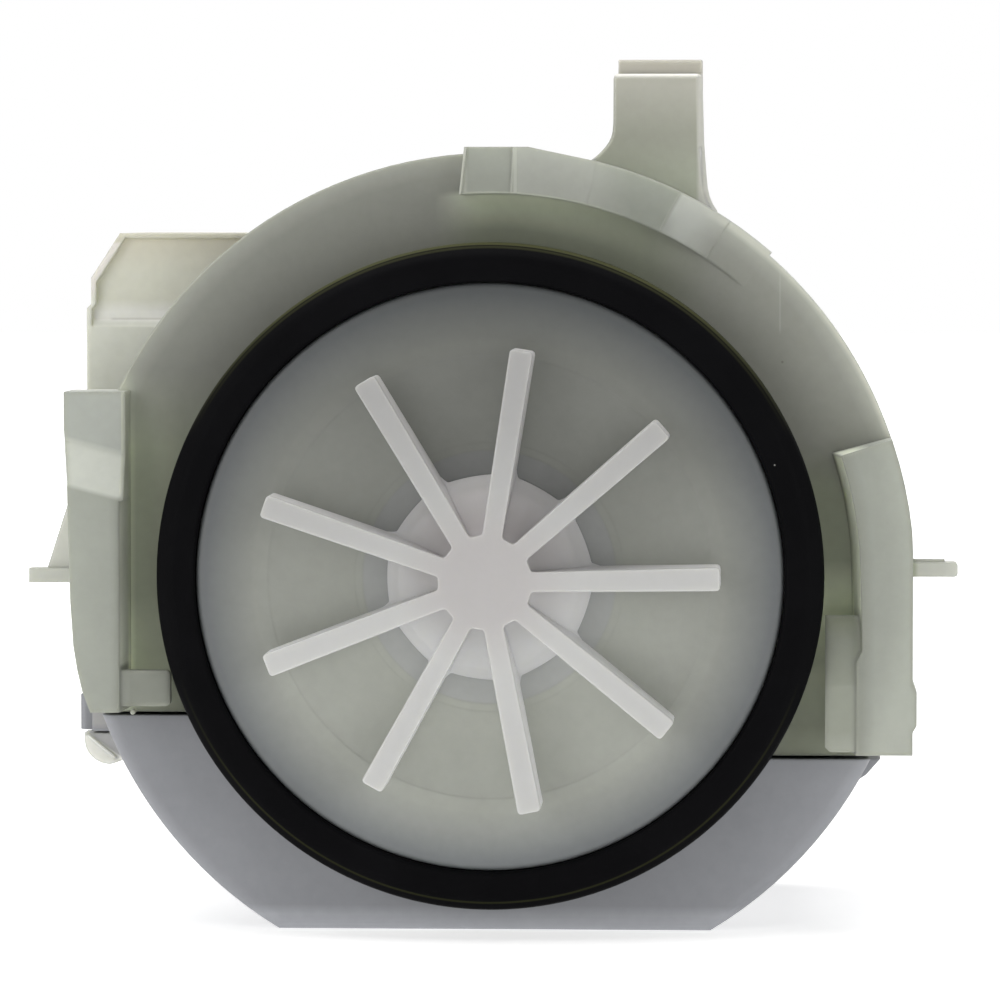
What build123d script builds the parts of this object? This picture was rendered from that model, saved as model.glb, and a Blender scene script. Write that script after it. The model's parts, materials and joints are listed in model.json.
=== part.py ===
from build123d import *
import os
from math import atan2, cos, degrees, radians, sin, sqrt

# Driving dimensions of the drain pump, in millimetres and degrees.
# The pump's axis is Y, its inlet side faces -Y, and +Z is up as it is mounted.
# Y is counted from the middle of the seal's cylindrical band.

FIT = 0.02
GAP = 0.3
RUNNING = 0.04

# Seal
SEAL_DIAMETER = 66.8
SEAL_BAND = 2.8
SEAL_BEVEL = 1.4
SEAL_REAR_TAPER = 0.5
SEAL_LIP_REACH = 1.55

# Spigot and mounting ring
SEAL_THICKNESS = 2.4
SPIGOT_WALL = 2.4
RING_MARGIN = 9.0
RING_FACE = 8.0
RING_THICKNESS = 3.5
CAN_SEAT_WIDTH = 4.6
SKIRT_WALL = 1.2
SKIRT_LENGTH = 4.0
LEFT_CHORD = 14.4
RIGHT_CHORD = 18.6

# Bayonet lugs, which stand forward of the ring's face
LUG_HEIGHT = 7.5
LUG_OVERHANG = 0.8
LUG_WIDTH = 5.8
LEFT_LUG_LEAN = 0.4
RIGHT_LUG_LEAN = 0.9
LUG_BOW = 0.0135
LEAD_IN_DROP = 2.6
LEAD_IN_RUN = 4.4
LEAD_IN_ANGLE = 14.3
LEAD_IN_SET_DOWN = 5.6
LUG_LEAN_DROP = 0.9
LEFT_LUG_TOP = 18.3
LEFT_LUG_GAP = 0.5
RIGHT_LUG_TOP = 13.7
RIGHT_LUG_WIDTH = 5.35
LUG_SIDE_FLAT = 0.15
LUG_TOP_SLANT = 1.6
LUG_STEPS = 6
RIGHT_LUG_GAP = 0.7
HOOK_THICKNESS = 2.5
HOOK_CLEARANCE = 0.35
HOOK_SET_UP = 0.6
LEFT_HOOK_SET_BACK = 0.9
RIGHT_HOOK_SET_BACK = 0.4
HOOK_RAMP_LENGTH = 7.0
HOOK_RAMP_DROP = 1.8
HOOK_ROUND = 0.5
LEFT_HOOK_LENGTH = 3.6
RIGHT_HOOK_LENGTH = 13.6
TOP_LUG_WIDTH = 4.5
TOP_END_X = 2.7
TOP_END_SLANT = 0.5
TOP_FLAT_RISE = 0.52
TOP_CORNER_X = 3.7
TOP_LUG_END = 49.0
TOP_POCKET_ANGLE = 6.5
TOP_WALL = 0.25
TOP_POCKET_DROP = 1.3
TOP_RAMP_ANGLE = 11.4
TOP_LANDING_ANGLE = 11.7
TOP_LAST_RAMP_ANGLE = 8.0
TOP_LANDING_DROP = 3.4
TOP_TAIL_HEIGHT = 0.5
RIM_START = 51.0
RIM_END = 60.0
RIM_HEIGHT = 0.15

# Small tabs at the ring's sides
TAB_REACH = 5.0
TAB_THICKNESS = 1.45
TAB_DEPTH = 3.0
TAB_ROUND = 0.35
GUSSET_HEIGHT = 8.0
GUSSET_REACH = 3.15
GUSSET_THICKNESS = 1.2

# Front face plate, which carries the front bearing
FACE_RECESS = 0.8
FACE_THICKNESS = 1.8
FACE_EDGE_RADIUS = 0.6
STEP_MARGIN = 1.9
STEP_TAPER = 0.5
STEP_DEPTH = 0.9
POCKET_CLEARANCE = 0.5
POCKET_DEPTH = 2.5
REGISTER_WALL = 2.0
REGISTER_LENGTH = 2.4

# Shaft, bearings and their rubber mounts
SHAFT_DIAMETER = 4.0
SHAFT_HOLE_CLEARANCE = 0.6
BEARING_DIAMETER = 10.0
BEARING_LENGTH = 5.4
MOUNT_WALL = 2.2
BOSS_WALL = 1.6
WASHER_DIAMETER = 9.0
WASHER_THICKNESS = 0.6

# Rotor and its can
MAGNET_DIAMETER = 25.2
MAGNET_LENGTH = 28.0
SLEEVE_WALL = 2.0
SLEEVE_CAP_DIAMETER = 18.0
SLEEVE_CAP_THICKNESS = 1.4
ROTOR_AIR_GAP = 1.2
CAN_WALL = 1.2
CAN_FLANGE_THICKNESS = 2.0
ORING_THICKNESS = 1.2

# Impeller
IMPELLER_DIAMETER = 46.2
IMPELLER_FRONT = 11.0
BLADE_COUNT = 9
BLADE_ANGLE = 1.0
BLADE_TIP_WIDTH = 2.3
BLADE_ROOT_WIDTH = 1.95
BLADE_TIP_ROUND = 0.5
BLADE_TIP_HEIGHT = 6.4
HUB_DIAMETER = 9.8
HUB_STEP = 1.2
WEB_MARGIN = 1.5
WEB_SCALLOP = 1.1
WEB_SCALLOP_RADIUS = 8.0
WEB_RIM = 1.1
CONE_WALL = 0.7
DRUM_WALL = 2.0
COUPLING_DIAMETER = 15.8
COUPLING_DEPTH = 4.2
CAP_THICKNESS = 1.0
CAP_LEDGE = 1.0
DOG_HUB_DIAMETER = 7.0
DOG_HALF_ANGLE = 22.0
STOP_HALF_ANGLE = 20.0
DAMPER_ANGLE = 12.0

# Motor housing and rear cover
MOTOR_WALL = 2.2
MOTOR_REAR_SPACE = 1.6
FLAT_RISE = 4.7
PLATE_MARGIN = 0.2
PLATE_PROUD = 0.8
PLATE_THICKNESS = 2.5
PLATE_EDGE_RADIUS = 1.4
RIB_WIDTH = 1.6
RIB_HEIGHT = 0.9
RIB_ANGLES = (75, 60, 45, 30, 15, 0, 178, 192, 100)
COVER_THICKNESS = 3.0
COVER_EDGE_RADIUS = 0.8
LABEL_WIDTH = 34.0
LABEL_HEIGHT = 15.0
LABEL_DEPTH = 0.4
LABEL_DROP = 23.0
COVER_BOSS_DIAMETER = 22.0
COVER_BOSS_HEIGHT = 1.0
COVER_RIB_WIDTH = 1.6
COVER_RIB_COUNT = 8
SNAP_WIDTH = 7.0
SNAP_LENGTH = 5.2
SNAP_THICKNESS = 1.6
SNAP_NIB = 1.2
SNAP_NIB_LENGTH = 2.0
SNAP_ANGLES = (20, 90, 175, 225, 315)

# Clip and latch ear on the drum's left
CLIP_DROP = 2.5
CLIP_HEIGHT = 3.6
CLIP_REACH = 0.7
CLIP_DEPTH = 4.0
EAR_RIB_WIDTH = 0.35
EAR_RIB_HEIGHT = 0.5

# Stator
COIL_SPACE = 1.0
STACK_LENGTH = 21.0
YOKE_CLEARANCE = 0.5
LEG_WIDTH = 10.0
POLE_HEIGHT = 13.8
POLE_WALL = 6.7
POLE_GAP = 5.0
YOKE_HEIGHT = 8.0
BOBBIN_WALL = 0.9
WINDING_DEPTH = 4.6
PIN_WIDTH = 0.8
PIN_LENGTH = 2.6
STRIP_THICKNESS = 0.6
STRIP_WIDTH = 2.4
CUTOUT_LENGTH = 10.0
CUTOUT_HEIGHT = 7.0

# Connector housing
CONNECTOR_ANGLE = 145.0
CONNECTOR_REACH = 8.7
CONNECTOR_RISE = 10.6
CONNECTOR_DROP = 7.6
CONNECTOR_SET_BACK = 1.5
CONNECTOR_LENGTH = 25.0
CONNECTOR_BEVEL_X = 3.0
CONNECTOR_BEVEL_Z = 4.6
CONNECTOR_STEP = 0.45
CONNECTOR_STEP_RISE = 3.3
CONNECTOR_WALL = 0.5
RECESS_DEPTH = 1.0
LEDGE_RISE = 1.0
LEDGE_BEVEL = 0.8
SOCKET_WIDTH = 7.0
SOCKET_HEIGHT = 11.5
SOCKET_DEPTH = 12.5
SOCKET_OFFSET = 0.45
SOCKET_DROP = 4.1
BLADE_TERMINAL_WIDTH = 4.8
BLADE_TERMINAL_THICKNESS = 0.8
BLADE_TERMINAL_LENGTH = 7.5
BLADE_TERMINAL_PITCH = 5.0
TAIL_REACH = 4.0

# Lock lever
LEVER_LEFT = 11.95
LEVER_WIDTH = 8.4
LEVER_THICKNESS = 2.5
LEVER_SET_BACK = 3.0
LEVER_ROOT_RISE = 0.6
LEVER_LENGTH = 7.4
LEVER_RIB = 0.6
LEVER_RIB_DEPTH = 4.5
LEVER_RIB_LIFT = 0.7
LEVER_FOOT_GAP = 0.5
LEVER_TOP_BEVEL = 0.5
HEAD_LEFT = 12.4
HEAD_HEIGHT = 3.7
HEAD_DEPTH = 6.0
HEAD_RISE = 1.5
HEAD_BEVEL = 1.5
STUB_FLARE = 2.3

# Sizes worked out from the driving dimensions
seal_r = SEAL_DIAMETER / 2
spigot_r = seal_r - SEAL_THICKNESS
bore_r = spigot_r - SPIGOT_WALL
ring_r = seal_r + RING_MARGIN
left_lug_bottom = LEFT_CHORD - LEFT_LUG_GAP
right_lug_bottom = RIGHT_CHORD - RIGHT_LUG_GAP
shaft_r = SHAFT_DIAMETER / 2
bearing_r = BEARING_DIAMETER / 2
mount_r = bearing_r + MOUNT_WALL
motor_r = ring_r - SKIRT_WALL
motor_inner_r = motor_r - MOTOR_WALL
flat_drop = motor_r - FLAT_RISE
plate_r = ring_r + PLATE_MARGIN
seal_front = -SEAL_BAND / 2 - SEAL_BEVEL
seal_back = SEAL_BAND / 2 + SEAL_BEVEL
lip_r = spigot_r - SEAL_LIP_REACH
face_front = seal_front + FACE_RECESS
spigot_front = face_front + FACE_THICKNESS
step_floor = face_front + STEP_DEPTH
pocket_floor = step_floor + POCKET_DEPTH
boss_front = pocket_floor + FACE_THICKNESS
bearing_front = boss_front + GAP
bearing_back = bearing_front + BEARING_LENGTH
register_back = spigot_front + REGISTER_LENGTH
can_front = register_back + ORING_THICKNESS
can_seat = can_front + CAN_FLANGE_THICKNESS
ring_back = RING_FACE + RING_THICKNESS
skirt_back = ring_back + SKIRT_LENGTH
lug_front = RING_FACE - LUG_HEIGHT
washer_front = bearing_back + GAP
sleeve_front = washer_front + WASHER_THICKNESS
magnet_front = sleeve_front + SLEEVE_CAP_THICKNESS
magnet_back = magnet_front + MAGNET_LENGTH
sleeve_back = magnet_back + SLEEVE_CAP_THICKNESS
rear_washer_back = sleeve_back + WASHER_THICKNESS
rear_bearing_front = rear_washer_back + GAP
rear_bearing_back = rear_bearing_front + BEARING_LENGTH
shaft_back = rear_bearing_back - GAP
can_pocket_back = rear_bearing_back + GAP
can_inner_r = MAGNET_DIAMETER / 2 + ROTOR_AIR_GAP
can_r = can_inner_r + CAN_WALL
motor_back = can_pocket_back + CAN_WALL + MOTOR_REAR_SPACE
impeller_r = IMPELLER_DIAMETER / 2
hub_r = HUB_DIAMETER / 2
coupling_r = COUPLING_DIAMETER / 2
drum_r = coupling_r + DRUM_WALL
pocket_r = drum_r + POCKET_CLEARANCE
web_r = drum_r + WEB_MARGIN
step_r = web_r + STEP_MARGIN
impeller_back = pocket_floor - 2 * GAP
cap_front = impeller_back - CAP_THICKNESS
coupling_front = cap_front - COUPLING_DEPTH
web_back = step_floor - 1.6 * GAP
web_front = web_back - WEB_RIM
blade_root_back = face_front - 2 * GAP
blade_tip_back = -IMPELLER_FRONT + BLADE_TIP_HEIGHT
plate_front = RING_FACE - PLATE_PROUD
plate_back = plate_front + PLATE_THICKNESS
plate_rear = plate_back + MOTOR_WALL
stack_front = ring_back + COIL_SPACE + BOBBIN_WALL + WINDING_DEPTH
stack_back = stack_front + STACK_LENGTH
pole_bore_r = can_r + GAP
pole_outer = can_r + POLE_WALL
yoke_bottom = -flat_drop + MOTOR_WALL + GAP / 2
leg_bottom = yoke_bottom + YOKE_HEIGHT
leg_outer = sqrt(motor_inner_r ** 2 - yoke_bottom ** 2) - YOKE_CLEARANCE
leg_middle = leg_outer - LEG_WIDTH / 2
coil_top = -max(POLE_HEIGHT, can_r) - GAP
lever_front = RING_FACE + LEVER_SET_BACK
lever_back = lever_front + LEVER_THICKNESS
pin_front = stack_back + BOBBIN_WALL + WINDING_DEPTH
strip_front = pin_front + PIN_LENGTH - STRIP_THICKNESS
connector_x = motor_r * cos(radians(CONNECTOR_ANGLE))
connector_z = motor_r * sin(radians(CONNECTOR_ANGLE))
connector_left = connector_x - CONNECTOR_REACH
connector_top = connector_z + CONNECTOR_RISE
connector_bottom = connector_z - CONNECTOR_DROP
connector_front = skirt_back + CONNECTOR_SET_BACK
connector_back = connector_front + CONNECTOR_LENGTH
socket_right = connector_x - SOCKET_OFFSET
socket_left = socket_right - SOCKET_WIDTH
socket_bottom = connector_z - SOCKET_DROP
socket_floor = connector_back - SOCKET_DEPTH
terminal_x = (socket_left + socket_right) / 2
tail_front = socket_floor - 3
lever_root = ring_r + LEVER_ROOT_RISE
lever_top = lever_root + LEVER_LENGTH
head_top = lever_top + HEAD_RISE


def rod(radius, y_front, y_back, x=0.0, z=0.0):
    """Solid round bar parallel to the pump's axis."""
    place = Pos(x, (y_front + y_back) / 2, z) * Rot(90, 0, 0)
    return place * Cylinder(radius, y_back - y_front)


def tube(outer, inner, y_front, y_back):
    """Round tube on the pump's axis."""
    return rod(outer, y_front, y_back) - rod(inner, y_front - 1, y_back + 1)


def block(x0, x1, y0, y1, z0, z1):
    """Box between two corners."""
    return Pos((x0 + x1) / 2, (y0 + y1) / 2, (z0 + z1) / 2) * Box(x1 - x0, y1 - y0, z1 - z0)


def slab(points, y_front, y_back):
    """Flat piece with an outline drawn in X and Z."""
    outline = make_face(Polyline(*points, close=True))
    plane = Plane(origin=(0, y_back, 0), x_dir=(1, 0, 0), z_dir=(0, -1, 0))
    return extrude(plane * outline, amount=y_back - y_front)


def turned(points):
    """Piece turned round the pump's axis from points of radius and Y."""
    return revolve(make_face(Polyline(*points, close=True)), axis=Axis.Y)


def polar(radius, angle):
    """Point in X and Z at an angle from +X towards +Z."""
    return (radius * cos(radians(angle)), radius * sin(radians(angle)))


def sector(inner, outer, start, end, y_front, y_back):
    """Piece of a ring between two angles."""
    low = make_face(Polyline((0, 0), polar(2 * outer, start), polar(2 * outer, (start + end) / 2),
                             polar(2 * outer, end), close=True))
    plane = Plane(origin=(0, y_back, 0), x_dir=(1, 0, 0), z_dir=(0, -1, 0))
    return tube(outer, inner, y_front, y_back) & extrude(plane * low, amount=y_back - y_front)


def turn(shape, angle):
    """Shape turned about the pump's axis, +X towards +Z."""
    return shape.rotate(Axis.Y, -angle)


def below_chords(drop, y_front, y_back):
    """Everything under the two chords that cut the ring, lowered by a drop."""
    far = 4 * plate_r
    left = block(-far, 0, y_front, y_back, -far, -LEFT_CHORD - drop)
    right = block(0, far, y_front, y_back, -far, -RIGHT_CHORD - drop)
    return left + right


def above_flat(y_front, y_back, inset=0.0):
    """Everything above the flat that the pump rests on."""
    far = 4 * plate_r
    return block(-far, far, y_front, y_back, -flat_drop + inset, far)


def seal_ring():
    lip_back = spigot_front - FIT
    inner = spigot_r + FIT
    return turned([(lip_r, seal_front + 0.2), (lip_r + 0.3, seal_front),
                   (seal_r - SEAL_BEVEL, seal_front), (seal_r, -SEAL_BAND / 2),
                   (seal_r, SEAL_BAND / 2), (seal_r - SEAL_REAR_TAPER, seal_back),
                   (inner, seal_back), (inner, lip_back), (lip_r, lip_back)])


def spigot():
    """Tube that carries the seal, with the seat for the can inside it."""
    core_r = bore_r - CAN_SEAT_WIDTH
    seat = tube(spigot_r, core_r, can_seat, ring_back)
    return tube(spigot_r, bore_r, spigot_front, ring_back) + seat


def ring_and_skirt():
    """Mounting ring with its two cut edges, and the skirt behind it."""
    ring = tube(ring_r, spigot_r, RING_FACE, ring_back)
    skirt = tube(ring_r, motor_r + FIT, ring_back, skirt_back)
    return ring + skirt - below_chords(0, RING_FACE - 1, skirt_back + 1)


def left_lug_outline():
    outer = -ring_r - LUG_OVERHANG
    wide = outer + LUG_WIDTH + LEFT_LUG_LEAN
    low = -left_lug_bottom
    half = LEFT_LUG_TOP / 2
    return [(outer, LEFT_LUG_TOP), (wide, LEFT_LUG_TOP), (wide, low), (outer + 2.9, low),
            (outer + 2.1, low + 2.1), (outer + 1.6, low + 4.2), (outer + 1.2, low + 6.7),
            (outer + 0.9, low + 11.2), (outer + 0.6, half), (outer + 0.2, half + 3.2),
            (outer, LEFT_LUG_TOP - 3.8)]


def left_lead_in():
    """Space cut away above the left lug's slanted lead-in, which points to the pump's axis."""
    middle = -ring_r - LUG_OVERHANG + LUG_WIDTH / 2
    floor = lug_front + LEAD_IN_DROP
    over = LEFT_LUG_TOP / 2
    side = make_face(Polyline((lug_front - 1, over), (floor, over), (floor, 0),
                              (lug_front, -LEAD_IN_RUN), (lug_front - 1, -LEAD_IN_RUN), close=True))
    wedge = extrude(Plane.YZ * side, amount=LUG_WIDTH, both=True)
    return Pos(middle, 0, LEFT_LUG_TOP - LEAD_IN_SET_DOWN) * turn(wedge, -LEAD_IN_ANGLE)


def left_lean():
    """Space cut away beside the left lug's leaning inner side, below its lead-in."""
    inner = -ring_r - LUG_OVERHANG + LUG_WIDTH
    wide = inner + LEFT_LUG_LEAN
    low = -left_lug_bottom - 1
    high = LEFT_LUG_TOP - LEAD_IN_SET_DOWN - LEAD_IN_RUN - LUG_LEAN_DROP
    profile = make_face(Polyline((inner, lug_front), (wide, RING_FACE), (wide + 1, RING_FACE),
                                 (wide + 1, lug_front - 1), (inner, lug_front - 1), close=True))
    return Pos(0, 0, low) * extrude(profile, amount=high - low)


def hook_tip(height):
    """Distance in X of a hook's tip, whose corner at this height clears the seal."""
    return sqrt((seal_r + HOOK_CLEARANCE) ** 2 - height ** 2)


def left_hook():
    """Plate behind which the sump's tongue locks, with rounded corners at its tip."""
    root = -ring_r - LUG_OVERHANG + LUG_WIDTH - 1
    low = -left_lug_bottom + HOOK_SET_UP
    tip = -hook_tip(low + LEFT_HOOK_LENGTH)
    front = lug_front + LEFT_HOOK_SET_BACK
    plate = block(root, tip, front, lug_front + HOOK_THICKNESS, low, low + LEFT_HOOK_LENGTH)
    return fillet(plate.edges().filter_by(Axis.Y).sort_by(Axis.X)[-2:], HOOK_ROUND)


def left_bayonet_lug():
    """Left lug in front of the ring, with its lead-in and hook."""
    wall = slab(left_lug_outline(), lug_front, RING_FACE)
    return wall - left_lead_in() - left_lean() + left_hook()


def right_lug_outline(lean):
    """Outline of the right lug; lean moves its inner side towards the axis."""
    outer = ring_r - LUG_SIDE_FLAT
    inner = ring_r - RIGHT_LUG_WIDTH - lean
    low = -right_lug_bottom
    heights = [RIGHT_LUG_TOP * step / LUG_STEPS for step in range(LUG_STEPS, 0, -1)]
    inside = [(inner - LUG_BOW * (height - LUG_TOP_SLANT) ** 2, height - LUG_TOP_SLANT)
              for height in heights]
    outside = [(min(outer, sqrt(ring_r ** 2 - height ** 2)), height) for height in heights]
    foot = [(inner + 0.2, low + 10.5), (inner - 0.4, low + 9.3), (inner - 0.4, low), (outer, low),
            (outer, low + 2.3), (outer + 0.4, low + 3), (outer + 0.4, low + 6.4),
            (outer, low + 7.3)]
    return inside + foot + outside[::-1]


def right_bayonet_lug():
    """Right lug, whose inner side leans, so it is wider at the ring's face than in front."""
    front = Plane(origin=(0, lug_front, 0), x_dir=(1, 0, 0), z_dir=(0, -1, 0))
    back = Plane(origin=(0, RING_FACE, 0), x_dir=(1, 0, 0), z_dir=(0, -1, 0))
    narrow = front * make_face(Polyline(*right_lug_outline(0), close=True))
    wide = back * make_face(Polyline(*right_lug_outline(RIGHT_LUG_LEAN), close=True))
    return loft([narrow, wide], ruled=True) + right_hook()


def right_hook():
    """Plate whose upper end slopes back, so that the sump's tongue slides behind it."""
    root = ring_r - RIGHT_LUG_WIDTH + 0.5
    low = -right_lug_bottom + HOOK_SET_UP / 2
    top = low + RIGHT_HOOK_LENGTH
    tip = hook_tip(top)
    front = lug_front + RIGHT_HOOK_SET_BACK
    back = lug_front + HOOK_THICKNESS
    side = make_face(Polyline((front, low), (front, top - HOOK_RAMP_LENGTH),
                              (front + HOOK_RAMP_DROP, top), (back, top), (back, low), close=True))
    plate = Pos(tip, 0, 0) * extrude(Plane.YZ * side, amount=root - tip)
    corner = plate.edges().filter_by(Axis.Y).sort_by(Axis.Z)[:2].sort_by(Axis.X)[0]
    return chamfer(corner, HOOK_ROUND)


def top_lug_end(inner, outer, crest, shift, y_front, y_back):
    """Piece of the top lug from its crest to its slanted left end, which the shift moves right."""
    high = outer + 1
    low = inner - 1
    level = ring_r + LUG_OVERHANG / 2
    slope = TOP_END_SLANT / TOP_LUG_WIDTH
    left = [(shift - TOP_END_X - slope * (level - z), z) for z in (high, low)]
    keep = slab(left + [(high, low), (high, high)], y_front - 1, y_back + 1)
    last = degrees(atan2(inner, -TOP_END_X - TOP_END_SLANT)) + 1
    return sector(inner, outer, crest, last, y_front, y_back) & keep


def top_lug():
    """Flat-topped pocket, two ramps with a landing between them, and a low tail, rising anticlockwise."""
    outer = ring_r + LUG_OVERHANG / 2
    inner = outer - TOP_LUG_WIDTH
    top = ring_r + TOP_FLAT_RISE
    crest = degrees(atan2(outer, -TOP_END_X)) - TOP_POCKET_ANGLE
    landing = lug_front + TOP_LANDING_DROP
    first_end = crest - TOP_RAMP_ANGLE
    last_start = first_end - TOP_LANDING_ANGLE
    head_face = lug_front + 1
    head = top_lug_end(inner, top + 1, crest, 0, head_face, ring_back)
    pocket = top_lug_end(inner - 1, top + 2, crest, TOP_WALL, lug_front,
                         lug_front + TOP_POCKET_DROP)
    first = ramp(inner, top + 1, crest, first_end, head_face, landing)
    outline = [(-inner, top), (TOP_CORNER_X, top), polar(outer, first_end), (0, 0), (-inner, 0)]
    start = (head - pocket + first) & slab(outline, lug_front, ring_back + 1)
    middle = sector(inner, outer, last_start, first_end, landing, ring_back)
    last_end = last_start - TOP_LAST_RAMP_ANGLE
    tail_face = RING_FACE - TOP_TAIL_HEIGHT
    last = ramp(inner, outer, last_start, last_end, landing, tail_face)
    tail = ramp(inner, outer, last_end, TOP_LUG_END, tail_face, RING_FACE)
    return start + middle + last + tail


def ramp(inner, outer, high_angle, low_angle, high_face, low_face):
    """Ring piece whose flat front face falls away as the angle goes down."""
    middle = (high_angle + low_angle) / 2
    radius = (inner + outer) / 2
    reach = radius * sin(radians(high_angle - low_angle) / 2)
    rise = low_face - high_face
    far = 2 * reach
    side = make_face(Polyline((-far, -ring_back), (far, -ring_back),
                              (far, -high_face + rise / 2), (-far, -low_face - rise / 2), close=True))
    spot = polar(radius, middle)
    along = (-sin(radians(middle)), 0, cos(radians(middle)))
    outward = (cos(radians(middle)), 0, sin(radians(middle)))
    plane = Plane(origin=(spot[0], 0, spot[1]), x_dir=along, z_dir=outward)
    wedge = extrude(plane * side, amount=outer - inner, both=True)
    return sector(inner, outer, low_angle, high_angle, min(high_face, low_face), ring_back) & wedge


def side_tabs():
    """Thin tab on each side of the ring, with a gusset on the left one."""
    reach = ring_r + TAB_REACH
    back = RING_FACE + TAB_DEPTH
    root = ring_r - 1
    half = TAB_THICKNESS / 2
    left = block(-reach, -root, RING_FACE, back, -TAB_THICKNESS + 0.2, 0.2)
    right = block(root, reach - 0.5, RING_FACE, back, 0.3 - half, 0.3 + half)
    right = fillet(right.edges().filter_by(Axis.Y).group_by(Axis.X)[-1], TAB_ROUND)
    middle = (RING_FACE + back) / 2
    rib_front = middle - GUSSET_THICKNESS / 2
    rib_back = middle + GUSSET_THICKNESS / 2
    gusset = slab([(-root, 0), (-root, GUSSET_HEIGHT), (-ring_r - 0.7, GUSSET_HEIGHT),
                   (-ring_r - GUSSET_REACH, 0.4), (-ring_r - GUSSET_REACH, 0)],
                  rib_front, rib_back)
    crest = block(root, reach - 1.8, rib_front, rib_back, 0, 1.3)
    return left + right + gusset + crest


def lever_stub():
    """Flared root that carries the lock lever."""
    left = LEVER_LEFT
    right = LEVER_LEFT + LEVER_WIDTH + LEVER_RIB
    root = ring_r * 0.78
    outline = [(left - STUB_FLARE - 0.3, root), (left - STUB_FLARE, lever_root - 1.4),
               (left - STUB_FLARE / 2, lever_root - 0.8), (left - 0.4, lever_root),
               (right, lever_root), (right + 0.1, lever_root - 4.4),
               (right + STUB_FLARE / 2, lever_root - 6.6), (right + STUB_FLARE / 2, root)]
    rib = block(right - LEVER_RIB, right, lever_front, lever_front + LEVER_RIB_DEPTH,
                root + 2, lever_root)
    inside = rod(motor_r + FIT, ring_back, lever_front + LEVER_RIB_DEPTH + 1)
    return slab(outline, lever_front, lever_back) + rib - inside


def flange_body():
    """Mounting ring with its skirt, the lugs' roots, the top lug, the tabs and the lever's root."""
    rim = sector(ring_r - 0.5, ring_r + RIM_HEIGHT, RIM_START, RIM_END, ring_back, skirt_back)
    left_root = slab(left_lug_outline(), RING_FACE, ring_back)
    right_root = slab(right_lug_outline(RIGHT_LUG_LEAN), RING_FACE, ring_back)
    body = ring_and_skirt() + left_root + right_root
    return body + top_lug() + side_tabs() + lever_stub() + rim


def face_plate():
    """Disc with a shallow step, a pocket for the impeller's drum and the front bearing's boss."""
    edge = lip_r - 0.05
    register_r = bore_r - FIT
    seat_r = mount_r + FIT
    back_r = pocket_r + FACE_THICKNESS
    hole_r = shaft_r + SHAFT_HOLE_CLEARANCE
    boss_back = bearing_back
    return turned([(hole_r, pocket_floor), (pocket_r, pocket_floor), (pocket_r, step_floor),
                   (step_r - STEP_TAPER, step_floor), (step_r, face_front),
                   (edge - FACE_EDGE_RADIUS, face_front), (edge, face_front + FACE_EDGE_RADIUS),
                   (edge, spigot_front), (register_r, spigot_front), (register_r, register_back),
                   (register_r - REGISTER_WALL, register_back),
                   (register_r - REGISTER_WALL, spigot_front), (back_r, spigot_front),
                   (back_r, boss_front), (seat_r + BOSS_WALL, boss_front),
                   (seat_r + BOSS_WALL, boss_back), (seat_r, boss_back), (seat_r, boss_front),
                   (hole_r, boss_front)])


def bearing_mount(y_front, y_back):
    return tube(mount_r, bearing_r + FIT, y_front, y_back)


def bearing(y_front, y_back):
    return tube(bearing_r, shaft_r + RUNNING, y_front, y_back)


def rotor_can():
    """Wet chamber: flange, thin tube round the rotor and the rear bearing's pocket."""
    flange_r = bore_r - FIT
    seat_r = mount_r + FIT
    shoulder = rear_bearing_front + CAN_WALL
    end = can_pocket_back + CAN_WALL
    return turned([(can_inner_r, can_front), (flange_r, can_front), (flange_r, can_seat),
                   (can_r, can_seat), (can_r, shoulder), (seat_r + CAN_WALL, shoulder),
                   (seat_r + CAN_WALL, end), (0, end), (0, can_pocket_back),
                   (seat_r, can_pocket_back), (seat_r, rear_bearing_front),
                   (can_inner_r, rear_bearing_front)])


def can_oring():
    ring_mid = bore_r - FIT - REGISTER_WALL / 2
    profile = Pos(ring_mid, (register_back + can_front) / 2) * Circle(ORING_THICKNESS / 2)
    return revolve(profile, axis=Axis.Y)


def shaft():
    front = coupling_front - HUB_STEP
    return rod(shaft_r, front, shaft_back)


def thrust_washer(y_front):
    return tube(WASHER_DIAMETER / 2, shaft_r + FIT, y_front, y_front + WASHER_THICKNESS)


def rotor_sleeve():
    bore = shaft_r + FIT
    outer = bore + SLEEVE_WALL
    cap_r = SLEEVE_CAP_DIAMETER / 2
    return turned([(bore, sleeve_front), (cap_r, sleeve_front), (cap_r, magnet_front),
                   (outer, magnet_front), (outer, magnet_back), (cap_r, magnet_back),
                   (cap_r, sleeve_back), (bore, sleeve_back)])


def rotor_magnet():
    inner = shaft_r + SLEEVE_WALL + 2 * FIT
    return tube(MAGNET_DIAMETER / 2, inner, magnet_front, magnet_back)


def drive_dog():
    """Dog fixed to the shaft, which swings between the impeller's two dampers."""
    front = coupling_front + GAP
    back = cap_front - GAP
    hub = tube(DOG_HUB_DIAMETER / 2, shaft_r + FIT, front, back)
    wing = sector(DOG_HUB_DIAMETER / 2 - 0.5, coupling_r - GAP, -90 - DOG_HALF_ANGLE,
                  -90 + DOG_HALF_ANGLE, front, back)
    return hub + wing


def blade_outline():
    """One blade seen from the front, pointing along +X."""
    tip = BLADE_TIP_WIDTH / 2
    root = BLADE_ROOT_WIDTH / 2
    outline = make_face(Polyline((0, -root), (impeller_r, -tip), (impeller_r, tip), (0, root),
                                 close=True))
    corners = outline.vertices().sort_by(Axis.X)[-2:]
    return fillet(corners, BLADE_TIP_ROUND)


def blade_envelope():
    """Turned space that the blades fill: flat in front, slanted behind."""
    return turned([(0, -IMPELLER_FRONT), (impeller_r + 1, -IMPELLER_FRONT),
                   (impeller_r + 1, blade_tip_back), (step_r, blade_root_back),
                   (web_r - 2, blade_root_back), (web_r - 2, web_front), (0, web_front)])


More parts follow.
